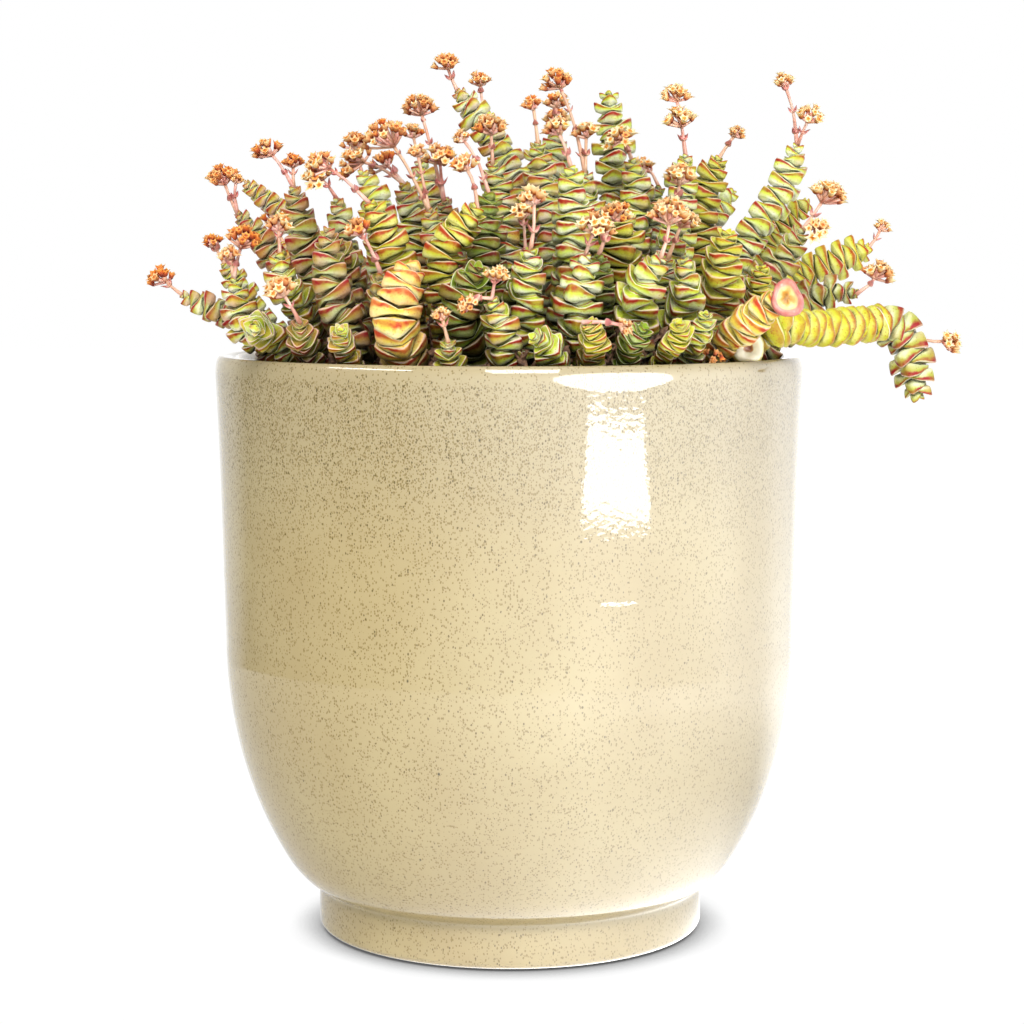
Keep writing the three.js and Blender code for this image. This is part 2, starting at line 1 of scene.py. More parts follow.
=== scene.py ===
"""A stacked-leaf succulent of the jade necklace kind in a glazed stoneware pot, dressed around its frame.

The frame is in metres, with +Z up and the origin in the middle of the pot's flat underside. The plants
table and the growing rules are in millimetres and are the same as in the frame's own source.
"""

import json
import math

import bpy
import numpy as np
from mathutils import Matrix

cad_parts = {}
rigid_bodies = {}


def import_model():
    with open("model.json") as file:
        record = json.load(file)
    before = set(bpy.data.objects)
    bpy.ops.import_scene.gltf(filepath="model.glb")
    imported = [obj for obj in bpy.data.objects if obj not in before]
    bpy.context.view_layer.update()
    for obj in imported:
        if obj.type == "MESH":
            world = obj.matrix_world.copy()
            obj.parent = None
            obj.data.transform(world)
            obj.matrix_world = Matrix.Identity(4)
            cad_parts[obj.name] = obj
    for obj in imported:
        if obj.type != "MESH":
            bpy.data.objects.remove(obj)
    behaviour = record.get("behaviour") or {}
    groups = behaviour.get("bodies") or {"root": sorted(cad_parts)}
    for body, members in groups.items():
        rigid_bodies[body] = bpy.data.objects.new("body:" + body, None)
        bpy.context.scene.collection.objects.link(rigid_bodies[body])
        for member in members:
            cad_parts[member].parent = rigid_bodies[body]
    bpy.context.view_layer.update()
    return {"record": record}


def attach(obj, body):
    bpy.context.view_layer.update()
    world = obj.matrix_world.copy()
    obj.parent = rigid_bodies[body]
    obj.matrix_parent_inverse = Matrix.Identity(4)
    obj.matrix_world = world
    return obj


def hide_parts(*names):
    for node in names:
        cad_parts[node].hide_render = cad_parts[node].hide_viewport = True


bl_info = {
    "name": "Potted jade necklace",
    "version": (1, 0, 0),
    "blender": (4, 5, 0),
    "location": "3D View > Sidebar > Potted plant",
    "description": "Dresses the frame of a potted stacked-leaf succulent",
    "category": "Add Mesh",
}

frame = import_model()
MM = 0.001
GOLDEN = math.pi * (3 - math.sqrt(5))

# Sizes that the frame's source gives, in millimetres. A flower head of OWN_SPRAY or more across has a
# node of its own.
POT = {"rim": 75.0, "height": 147.9, "wall": 5.6, "foot": 49.7, "floor": 17.0}
BELLY = {"radius": 73.3, "height": 75.0, "drop": 92.0}
LIP = {"depth": 6.5, "outer": 2.0, "round": 2.5, "bend": 0.83}
FLARE = {"start": 110.0, "most": 0.6}
SOIL = {"level": 134.0, "dome": 1.6, "lumps": 0.7, "fit": 0.3}
WOOD = {"radius": 1.7, "length": 15.0}
ROOM = {"step": 4.0, "gap": 0.7, "turns": 260, "give": 0.4, "most": 1.2, "home": 0.012, "even": 0.25,
        "free": 14.0}
OWN_SPRAY = 9


def plant(x, y, *stems):
    """A plant at a place in the soil, with its stems."""
    return {"x": x, "y": y, "stems": stems}


def stem(tone, width, route, heads=()):
    """A stem: its leaf colour, the width of its leaf pairs, its way and its flower heads."""
    return {"tone": tone, "width": width, "route": route, "heads": heads}


def trails(entry):
    """Whether a stem trails over the rim. Only such a stem has a flower stalk on its side."""
    return any(len(head) > 4 for head in entry["heads"])


PLANTS = (
    plant(-50, -12,
          stem("rose", 9.5, ((-67, -14, 156), (-75, -14, 160), (-82, -12, 163)), ((-88, -11, 168, 9),)),
          stem("green", 9.5, ((-66, -3, 160), (-73, -3, 171)), ((-76, -3, 177, 7),))),
    plant(-48, -34,
          stem("green", 10.5, ((-64, -38, 153), (-67, -36, 166)), ((-64, -36, 177, 12), (-68, -36, 173, 7))),
          stem("green", 11, ((-57, -45, 152), (-58, -57, 154))),
          stem("rose", 10, ((-48, -55, 150), (-48, -61, 155)), ((-53, -64, 164, 10),)),
          stem("green", 10.5, ((-55, -44, 160), (-56, -44, 171)), ((-56, -44, 179, 8),))),
    plant(-42, 6,
          stem("rose", 9.5, ((-60, 8, 172), (-70, 8, 184)), ((-74, 8, 194, 11), (-70, 6, 193, 5))),
          stem("rose", 12.5, ((-52, -4, 174), (-55, -4, 190)), ((-62, -4, 200, 10), (-55, -4, 197, 7))),
          stem("green", 9, ((-56, 24, 178), (-70, 26, 192)))),
    plant(-34, -46,
          stem("green", 9.5, ((-41, -60, 150), (-41, -64, 154))),
          stem("rose", 12.5, ((-43, -46, 160), (-44, -46, 178))),
          stem("rose", 11.5, ((-37, -31, 165), (-40, -34, 177)))),
    plant(-30, -12,
          stem("rose", 11.5, ((-40, -13, 172), (-43, -12, 187)), ((-48, -17, 193, 10),)),
          stem("green", 12, ((-24, -6, 175), (-27, -6, 191)), ((-40, -6, 197, 12), (-33, -4, 197, 10)))),
    plant(-26, -36,
          stem("lime", 13.5, ((-28, -38, 168), (-34, -38, 185)), ((-46, -38, 195, 11),)),
          stem("rose", 9.5, ((-33, -52, 157), (-32, -54, 166)), ((-37, -56, 178, 9),)),
          stem("gold", 16, ((-28, -61, 150), (-26, -63, 160), (-22, -60, 169)))),
    plant(-14, -14,
          stem("rose", 10.5, ((-15, 6, 174), (-17, 6, 187)), ((-18, 2, 199, 11), (-23, 8, 212, 12))),
          stem("green", 10, ((-17, -20, 170), (-20, -19, 184)), ((-31, -20, 203, 16), (-23, -18, 199, 6)))),
    plant(-12, -40,
          stem("lime", 13, ((-19, -42, 169), (-9, -42, 184)), ((-12, -42, 195, 8),)),
          stem("deep", 14.5, ((-13, -50, 156), (-4, -56, 169))),
          stem("green", 9.5, ((-18, -64, 149), (-18, -67, 153)), ((-19, -68, 160, 6),))),
    plant(0, 19,
          stem("green", 11, ((4, 5, 183), (-3, 8, 200), (-14, 10, 215)), ((-17, 10, 223, 9),)),
          stem("green", 9, ((-2, 32, 194), (-7, 32, 212)), ((-8, 32, 220, 8),)),
          stem("green", 12, ((10, 22, 188), (12, 24, 206)), ((12, 26, 214, 9),)),
          stem("green", 11, ((-18, 24, 182), (-24, 28, 198)), ((-26, 30, 206, 8),))),
    plant(0, -22,
          stem("deep", 13, ((-6, -26, 172), (-5, -26, 188)), ((-12, -24, 202, 6),)),
          stem("green", 11, ((-1, -10, 182), (-3, -10, 196)), ((-4, -10, 206, 11),))),
    plant(6, -48,
          stem("deep", 10.5, ((2, -44, 158), (4, -44, 171)), ((3, -46, 184, 8),)),
          stem("green", 12.5, ((8, -56, 160), (8, -58, 172)), ((7, -58, 186, 9),)),
          stem("green", 11.5, ((6, -63, 154), (1, -66, 164)), ((1, -68, 170, 7), (-8, -70, 162, 7)))),
    plant(18, -28,
          stem("green", 12.5, ((16, -34, 168), (15, -34, 194)), ((11, -34, 204, 9),)),
          stem("green", 11, ((7, -12, 189), (6, -12, 201)), ((5, -12, 211, 7),)),
          stem("deep", 10.5, ((24, -47, 157), (23, -48, 172)), ((27, -48, 183, 10),))),
    plant(20, -54,
          stem("green", 13, ((16, -59, 156), (17, -56, 171)), ((20, -60, 179, 12),)),
          stem("green", 11, ((12, -64, 150), (5, -70, 154))),
          stem("lime", 9.5, ((22, -66, 149), (20, -70, 154)), ((28, -72, 154, 6),))),
    plant(24, 0,
          stem("green", 12, ((21, 0, 178), (20, 0, 194)), ((20, 0, 205, 9), (12, 4, 218, 11))),
          stem("lime", 14, ((28, -24, 170), (28, -27, 185))),
          stem("green", 12.5, ((28, 12, 190), (26, 14, 215))),
          stem("green", 12, ((33, 2, 183), (32, 2, 197)), ((28, -6, 203, 10),))),
    plant(31, -50,
          stem("green", 14, ((27, -59, 158), (35, -60, 170)), ((37, -60, 182, 13),)),
          stem("deep", 10, ((29, -65, 150), (32, -68, 155))),
          stem("lime", 9.5, ((39, -62, 150), (39, -66, 155)))),
    plant(42, -12,
          stem("green", 12, ((38, -22, 170), (40, -24, 184)), ((41, -24, 193, 11),)),
          stem("green", 10.5, ((41, -2, 181), (43, -2, 198)), ((42, -2, 208, 11), (41, -2, 214, 9))),
          stem("green", 11, ((37, 18, 178), (39, 20, 191)), ((34, 20, 197, 7),))),
    plant(46, -36,
          stem("green", 12.5, ((42, -54, 158), (40, -56, 169))),
          stem("lime", 13.5, ((49, -45, 162), (50, -48, 175))),
          stem("green", 10, ((45, -35, 162), (43, -36, 172)), ((45, -38, 182, 10),)),
          stem("green", 9.5, ((44, -56, 150), (45, -61, 158))),
          stem("gold", 14, ((52, -52, 153), (61, -58, 161))),
          stem("gold", 13, ((60, -42, 154), (72, -36, 155), (85, -29, 156), (95, -24, 156), (99, -24, 149),
                            (101, -24, 138)), ((109, -25, 152, 9, 14),))),
    plant(50, 6,
          stem("lime", 13, ((49, 12, 182), (54, 12, 198)), ((59, 12, 205, 6),)),
          stem("green", 12, ((58, 3, 171), (70, 6, 190), (74, 8, 201)), ((70, 8, 218, 7), (77, 4, 209, 10))),
          stem("lime", 12, ((68, 31, 177), (80, 34, 187)))),
    plant(55, -14,
          stem("rose", 12, ((68, -16, 166), (74, -18, 178)), ((80, -18, 188, 13), (76, -28, 179, 8))),
          stem("lime", 9.5, ((60, -33, 158), (61, -36, 168))),
          stem("rose", 11.5, ((74, -12, 161), (86, -14, 163)), ((92, -14, 169, 10),)),
          stem("lime", 12, ((72, 12, 165), (84, 15, 171), (94, 18, 175)), ((98, 20, 181, 6),))),
    plant(-38, 38,
          stem("green", 11, ((-50, 46, 165), (-62, 54, 176)), ((-66, 57, 184, 9),)),
          stem("rose", 11, ((-36, 56, 160), (-42, 66, 172))),
          stem("green", 12, ((-34, 34, 178), (-40, 38, 195)), ((-42, 40, 204, 10),)),
          stem("deep", 13.5, ((-46, 26, 154), (-50, 18, 166))),
          stem("lime", 13, ((-29, 47, 155), (-24, 56, 166)))),
    plant(-8, 48,
          stem("green", 12, ((-12, 60, 160), (-16, 72, 170)), ((-17, 76, 178, 10),)),
          stem("green", 14, ((-14, 36, 158), (-16, 30, 174))),
          stem("lime", 12, ((6, 62, 158), (8, 74, 164)))),
    plant(26, 44,
          stem("green", 12, ((30, 58, 162), (36, 68, 176)), ((38, 72, 185, 11),)),
          stem("rose", 11, ((12, 42, 184), (12, 46, 202)), ((13, 48, 211, 9),)),
          stem("deep", 13.5, ((30, 32, 158), (33, 24, 172))),
          stem("green", 13, ((22, 54, 150), (16, 62, 162)))),
    plant(50, 30,
          stem("lime", 12, ((58, 44, 160), (68, 54, 168)), ((72, 58, 175, 9),)),
          stem("green", 11, ((52, 32, 176), (60, 38, 190))),
          stem("green", 13, ((47, 39, 153), (44, 52, 165)))),
)


def to_unit(vectors):
    """Vectors with the length of each made one."""
    lengths = np.linalg.norm(vectors, axis=-1, keepdims=True)
    return vectors / np.maximum(lengths, 1e-9)


# How the crowded stems grow. This is the frame's own way, so that each stem is where its solid is.


def even_points(through):
    """Points about one step apart on a smooth curve through the given ones."""
    knots = np.array(through, float)
    padded = np.vstack([2 * knots[0] - knots[1], knots, 2 * knots[-1] - knots[-2]])

    def on_curve(shares):
        spans = shares * (len(knots) - 1)
        first = np.minimum(spans.astype(int), len(knots) - 2)
        part = (spans - first)[:, None]
        before, start, end, after = (padded[first + k] for k in range(4))
        slope, next_slope = 0.5 * (end - before), 0.5 * (after - start)
        bend = -3 * start + 3 * end - 2 * slope - next_slope
        twist = 2 * start - 2 * end + slope + next_slope
        return start + part * (slope + part * (bend + part * twist))

    shares = np.linspace(0, 1, 201)
    steps = np.linalg.norm(np.diff(on_curve(shares), axis=0), axis=1)
    lengths = np.concatenate([[0], np.cumsum(steps)])
    count = max(2, int(lengths[-1] / ROOM["step"] + 0.5))
    return on_curve(np.interp(np.linspace(0, lengths[-1], count + 1), lengths, shares))


class Chain:
    """A stem or a flower stalk as a row of balls from its foot to its tip."""

    def __init__(self, places, radii=None, held=1, family=0, parent=None, root=0):
        self.places = np.array(places)
        self.radii = np.ones(len(places)) if radii is None else np.array(radii)
        self.held = held
        self.family = family
        self.parent = parent
        self.root = root
        self.heads = []
        self.entry = None


def stem_chain(entry, family, crown):
    """A stem along the line that it would grow on if it were alone."""
    start = [(*crown, SOIL["level"] - 6), (*crown, SOIL["level"] + 5)]
    places = even_points([*start, *entry["route"]])
    last = len(places) - 1
    radii = [WOOD["radius"] if k * ROOM["step"] < WOOD["length"]
             else entry["width"] / 2 * (0.75 if k == last else 1)
             for k in range(last + 1)]
    chain = Chain(places, radii, 2, family)
    chain.entry = entry
    return chain


def stalk_chain(head, parent):
    """A flower stalk, the last ball as wide as its head. A fifth number sets its foot that far down."""
    size, before = head[3], (head[4] if len(head) > 4 else 0)
    root = len(parent.places) - 1 - int(before / ROOM["step"] + 0.5)
    foot, end = parent.places[root], np.array(head[:3], float)
    outward = to_unit(foot - parent.places[root - 1])
    half = foot + (end - foot) * 0.45 + outward * np.linalg.norm(end - foot) * 0.12
    places = even_points([foot, half, end])
    radii = [1.2] * (len(places) - 1) + [size / 2]
    return Chain(places, radii, 1, parent.family, parent, root)


def make_chains():
    """All stems and stalks, each stem before its own stalks."""
    chains = []
    for family, entry in enumerate(PLANTS):
        for one in entry["stems"]:
            own = stem_chain(one, family, (entry["x"], entry["y"]))
            own.heads = [stalk_chain(head, own) for head in one["heads"]]
            chains += [own, *own.heads]
    return chains


class Crowd:
    """The balls of all chains, which push each other apart until each stem has room."""

    def __init__(self, chains):
        self.chains = chains
        counts = [len(chain.places) for chain in chains]
        firsts = np.concatenate([[0], np.cumsum(counts)])[:-1]
        self.firsts = firsts
        self.home = np.vstack([chain.places for chain in chains])
        self.place = self.home.copy()
        self.shift = np.zeros_like(self.home)
        self.radius = np.concatenate([chain.radii for chain in chains])
        index = {id(chain): k for k, chain in enumerate(chains)}
        self.chain = np.repeat(np.arange(len(chains)), counts)
        parents = np.array([index[id(chain.parent)] if chain.parent else -1 for chain in chains])
        self.parent = parents[self.chain]
        self.family = np.array([chain.family for chain in chains])[self.chain]
        step = np.concatenate([np.arange(count) for count in counts])
        held = np.array([chain.held for chain in chains])[self.chain]
        grown = np.clip((step - held + 1) * ROOM["step"] / ROOM["free"], 0, 1)
        self.free = np.where(step < held, 0, grown)
        self.loose = np.nonzero(step >= held)[0]
        last = np.repeat(np.array(counts) + firsts - 1, counts)
        self.before = self.loose - 1
        self.after = np.minimum(self.loose + 1, last[self.loose])
        stalks = [k for k, chain in enumerate(chains) if chain.parent]
        self.feet = firsts[stalks]
        self.roots = np.array([firsts[parents[k]] + chains[k].root for k in stalks])

    def near_pairs(self, margin):
        """The pairs of balls that come near each other and may not touch, in order."""
        gaps = np.linalg.norm(self.place[:, None] - self.place[None], axis=2)
        near = gaps < self.radius[:, None] + self.radius[None] + margin
        one, other = np.nonzero(np.triu(near, 1))
        a, b = self.chain[one], self.chain[other]
        mother, father = self.parent[one], self.parent[other]
        related = (a == b) | (mother == b) | (father == a) | ((mother >= 0) & (mother == father))
        young = np.minimum(self.free[one], self.free[other]) < 1
        related |= (self.family[one] == self.family[other]) & young
        return one[~related], other[~related]

    def wall_depth(self):
        """How deep each ball is in the pot's wall, an upright with a round top, and the way out."""
        thick = POT["wall"] / 2
        out = np.hypot(self.place[:, 0], self.place[:, 1])
        aside = out - (POT["rim"] - thick)
        above = self.place[:, 2] - np.minimum(self.place[:, 2], POT["height"] - thick)
        between = np.maximum(np.hypot(aside, above), 1e-6)
        outward = self.place[:, :2] / out[:, None] * aside[:, None]
        way = np.column_stack([outward, above]) / between[:, None]
        return thick + self.radius + ROOM["gap"] - between, way

    def soil_depth(self):
        """How deep each ball is in the soil, apart from the crowns and the stems' feet."""
        inside = np.hypot(self.place[:, 0], self.place[:, 1]) < POT["rim"] - POT["wall"] / 2
        depth = SOIL["level"] + SOIL["dome"] + self.radius + ROOM["gap"] - self.place[:, 2]
        return np.where(inside & (self.free > 0.3), depth, 0)

    def turn(self, one, other):
        """One turn of pushing apart and smoothing."""
        push = np.zeros_like(self.home)
        way = self.place[one] - self.place[other]
        between = np.maximum(np.linalg.norm(way, axis=1), 1e-6)
        deep = self.radius[one] + self.radius[other] + ROOM["gap"] - between
        both = self.free[one] + self.free[other]
        share = np.where((deep > 0) & (both > 0), deep * ROOM["give"] / between / np.maximum(both, 1e-9), 0)
        way *= share[:, None]
        np.add.at(push, one, way * self.free[one][:, None])
        np.add.at(push, other, -way * self.free[other][:, None])
        deep, way = self.wall_depth()
        deep = np.where((deep > 0) & (self.free > 0), deep, 0)
        push += way * (deep * ROOM["give"])[:, None]
        push[:, 2] += np.maximum(self.soil_depth(), 0) * ROOM["give"]
        size = np.linalg.norm(push, axis=1)
        push *= (np.minimum(size, ROOM["most"]) / np.maximum(size, 1e-12))[:, None]
        self.shift += push
        middle = (self.shift[self.before] + self.shift[self.after]) * 0.5
        own = self.shift[self.loose]
        self.shift[self.loose] = (own + (middle - own) * ROOM["even"]) * (1 - ROOM["home"])
        self.shift[self.feet] = self.shift[self.roots]
        self.place = self.home + self.shift

    def squeeze(self):
        """Makes balls that still touch smaller, and keeps them off the pot's wall and the soil."""
        for one, other in zip(*self.near_pairs(ROOM["gap"])):
            between = np.linalg.norm(self.place[one] - self.place[other])
            deep = self.radius[one] + self.radius[other] + ROOM["gap"] / 2 - between
            if deep > 0:
                wide = max(self.radius[one] - WOOD["radius"], 0)
                sum_wide = wide + max(self.radius[other] - WOOD["radius"], 0)
                share = wide / max(sum_wide, 1e-6)
                self.radius[one] -= deep * share
                self.radius[other] -= deep * (1 - share)
        self.radius -= np.maximum(self.wall_depth()[0] - ROOM["gap"] / 2, 0)
        self.radius -= np.maximum(self.soil_depth() - ROOM["gap"] / 2, 0)

    def settle(self):
        """Lets the stems make room for each other, and gives each chain its places and its room."""
        for turn in range(ROOM["turns"]):
            if turn % 10 == 0:
                one, other = self.near_pairs(ROOM["gap"] + 6)
            self.turn(one, other)
        self.squeeze()
        for chain, first in zip(self.chains, self.firsts):
            count = len(chain.places)
            chain.places = self.place[first:first + count]
            chain.radii = self.radius[first:first + count]


class Line:
    """The settled line of a chain, with a frame at any length along it."""

    def __init__(self, chain, twist):
        self.places = chain.places
        self.radii = chain.radii
        gaps = np.linalg.norm(np.diff(self.places, axis=0), axis=1)
        self.steps = np.concatenate([[0], np.cumsum(gaps)])
        self.length = self.steps[-1]
        ends = np.vstack([self.places[:1], self.places, self.places[-1:]])
        self.along = to_unit(ends[2:] - ends[:-2])
        side = np.array([math.cos(twist), math.sin(twist), 0])
        sides = []
        for along in self.along:
            side = to_unit(side - along * np.dot(along, side))
            sides.append(side)
        self.side = np.array(sides)

    def at(self, lengths):
        """Places, ways along, sides, ways across and room at some lengths along the line."""
        lengths = np.atleast_1d(np.asarray(lengths, float))
        k = np.clip(np.searchsorted(self.steps, lengths, side="left") - 1, 0, len(self.steps) - 2)
        part = ((lengths - self.steps[k]) / (self.steps[k + 1] - self.steps[k]))[:, None]
        clipped = np.clip(part, 0, 1)
        along = to_unit(self.along[k] + (self.along[k + 1] - self.along[k]) * clipped)
        side = self.side[k] + (self.side[k + 1] - self.side[k]) * clipped
        side = to_unit(side - along * np.sum(along * side, axis=1, keepdims=True))
        place = self.places[k] + (self.places[k + 1] - self.places[k]) * part
        room = np.minimum(self.radii[k], self.radii[k + 1])
        return place, along, side, np.cross(along, side), room


# Meshes


class Skin:
    """Gathers the closed skins of one piece, with a finish for each face and values at each point."""

    def __init__(self, finishes):
        self.finishes = list(finishes)
        self.points = []
        self.faces = []
        self.face_finishes = []
        self.values = {"band": [], "tint": [], "lobe": []}
        self.count = 0

    def add(self, points, faces, finish, **values):
        """Adds points and faces, whose corners count from the first of these points."""
        points = np.asarray(points, float).reshape(-1, 3)
        self.faces += [tuple(corner + self.count for corner in face) for face in faces]
        finish = [finish] * len(faces) if isinstance(finish, str) else finish
        self.face_finishes += [self.finishes.index(name) for name in finish]
        self.points.append(points)
        self.count += len(points)
        for name, kept in self.values.items():
            kept.append(np.broadcast_to(np.asarray(values.get(name, 0.0), float), (len(points),)))

    def loft(self, rings, finish, ends=(None, None), **values):
        """Adds a closed skin over rings with the same number of points, closed by fans at its ends.

        The finish is one name, or one for each ring.
        """
        rings = np.asarray(rings, float)
        count, around = rings.shape[:2]
        middles = [rings[k].mean(0) if end is None else end for k, end in zip((0, -1), ends)]
        points = np.vstack([rings.reshape(-1, 3), middles])
        start = np.arange(count - 1)[:, None] * around
        here = np.arange(around)[None]
        after = (here + 1) % around
        quads = np.stack([start + here, start + after, start + around + after, start + around + here], 2)
        low, top = count * around, (count - 1) * around
        faces = quads.reshape(-1, 4).tolist()
        faces += [(low, (k + 1) % around, k) for k in range(around)]
        faces += [(low + 1, top + k, top + (k + 1) % around) for k in range(around)]
        if not isinstance(finish, str):
            sides = [name for name in finish[:-1] for _ in range(around)]
            finish = sides + [finish[0]] * around + [finish[-1]] * around
        spread = {}
        for name, value in values.items():
            whole = np.broadcast_to(np.asarray(value, float), (count, around))
            spread[name] = np.concatenate([whole.ravel(), [whole[0].mean(), whole[-1].mean()]])
        self.add(points, faces, finish, **spread)

    def piece(self, name, slot, *nodes):
        """Makes the object, which rides on the frame and stands for the given nodes."""
        mesh = bpy.data.meshes.new(name)
        mesh.from_pydata((np.vstack(self.points) * MM).tolist(), [], self.faces)
        for finish in self.finishes:
            mesh.materials.append(MADE[finish])
        mesh.polygons.foreach_set("material_index", self.face_finishes)
        mesh.polygons.foreach_set("use_smooth", [True] * len(self.faces))
        for kept, values in self.values.items():
            attribute = mesh.attributes.new(kept, "FLOAT", "POINT")
            attribute.data.foreach_set("value", np.concatenate(values).astype(np.float32))
        mesh.update()
        mesh.validate()
        piece = bpy.data.objects.new(name, mesh)
        bpy.context.scene.collection.objects.link(piece)
        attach(piece, "root")
        if nodes:
            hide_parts(*nodes)
        return piece


def circle(count, start=0.0):
    """Angles evenly round a circle."""
    return start + np.arange(count) * 2 * math.pi / count


def turned_rings(profile, sides):
    """Rings of points round the upright axis from rows of radius and height."""
    angles = circle(sides)
    radius, height = np.array(profile, float).T
    x = radius[:, None] * np.cos(angles)
    y = radius[:, None] * np.sin(angles)
    return np.stack([x, y, np.broadcast_to(height[:, None], x.shape)], 2)


def slot_of(node):
    """The record's material slot of a node."""
    for part in frame["record"]["subparts"]:
        if part["node"] == node:
            return part["material_slot"]
    raise RuntimeError(f"the record has no part for {node}")


# Leaves, stalks and flowers

# One leaf from the waist under it to its upper side: how far out it stands between the stem and the
# leaf's outline, its height in leaf thicknesses, and the place in the leaf's bands of colour.
LEAF_PROFILE = (
    (0.00, -0.50, 0.00),
    (0.86, -0.45, 0.38),
    (0.965, -0.32, 0.52),
    (0.995, -0.08, 0.68),
    (1.00, 0.24, 0.88),
    (0.985, 0.40, 0.98),
    (0.93, 0.465, 1.04),
    (0.76, 0.45, 1.15),
    (0.35, 0.40, 1.40),
)
# The same for the smooth beads of a trailing stem
BEAD_PROFILE = (
    (0.00, -0.50, 0.00),
    (0.34, -0.47, 0.38),
    (0.68, -0.38, 0.52),
    (0.90, -0.24, 0.68),
    (1.00, -0.05, 0.78),
    (0.97, 0.13, 0.84),
    (0.84, 0.29, 0.90),
    (0.60, 0.41, 1.15),
    (0.28, 0.48, 1.40),
)
# How the leaves of each tone are shaped: the share of the width that they fill, the breadth of a pair
# over its length, how blunt it is (1 is a sharp rhombus and 2 an oval), the rise of its tips in leaf
# reaches, the pitch in leaf widths, the thickness of its tips in pitches and the radius of the waist
# between two pairs in leaf reaches
LEAF_FORMS = {
    "green": (1.00, 0.66, 1.38, 0.02, 0.215, 1.40, 0.40),
    "deep": (1.00, 0.70, 1.50, 0.06, 0.170, 1.45, 0.42),
    "lime": (1.00, 0.70, 1.38, 0.02, 0.170, 1.50, 0.42),
    "gold": (0.84, 0.82, 1.40, -0.02, 0.165, 1.70, 0.46),
    "rose": (1.00, 0.64, 1.42, 0.02, 0.240, 1.35, 0.36),
    "bead": (0.84, 0.86, 2.00, 0.00, 0.270, 1.05, 0.46),
}
# The skins of the tones: body, bloom, which is also laid on as painted sheen, rim, the line under the rim,
# blush, and how much light goes through
LEAF_COLOURS = {
    "green_leaf": ("#cfdf48", "#f8fde6", "#fafaea", "#a02c1c", "#c06038", 0.12),
    "deep_leaf": ("#8ca82c", "#d4e29c", "#e8eec8", "#742418", "#985a38", 0.12),
    "lime_leaf": ("#cece3c", "#ecee9c", "#f8f4d0", "#ac3c1c", "#d0943c", 0.15),
    "gold_leaf": ("#f4dc58", "#fcf4c4", "#faeecc", "#c8482c", "#f2be78", 0.15),
    "rose_leaf": ("#b4b84c", "#e6ecc4", "#f4e8d0", "#962424", "#b44c38", 0.12),
}
# How far single leaf pairs stray from the rule, as standard deviations: their turn in radians, the reach
# of their halves along and across, the tint of their halves, and their place in leaf reaches
STRAY = {"turn": 0.14, "along": 0.06, "across": 0.03, "tint": 0.12, "aside": 0.03}
# How much closer the points round a pair stand at its two tips
CLOSER = 0.22
# The share of its height over which a pair follows the bend of its stem
FOLLOWED = 0.8
# A stem that trails over the rim has beads in full sun, and fresh leaves past this share of its length
FRESH_PART = 0.74
# The sizes of a stem's last leaf pairs from its tip down, as shares of a full one
BUD = (0.26, 0.42, 0.58, 0.73, 0.86, 0.95)


def leaf_lengths(line, width, pitch):
    """The lengths along a stem where its pairs of leaves sit, from low to high, with their sizes."""
    placed = []
    length = line.length - pitch * width * 0.2
    while length > WOOD["length"]:
        size = BUD[len(placed)] if len(placed) < len(BUD) else 1
        placed.append((length, size))
        after = BUD[len(placed)] if len(placed) < len(BUD) else 1
        length -= pitch * width * (size + after) / 2
    return placed[::-1]


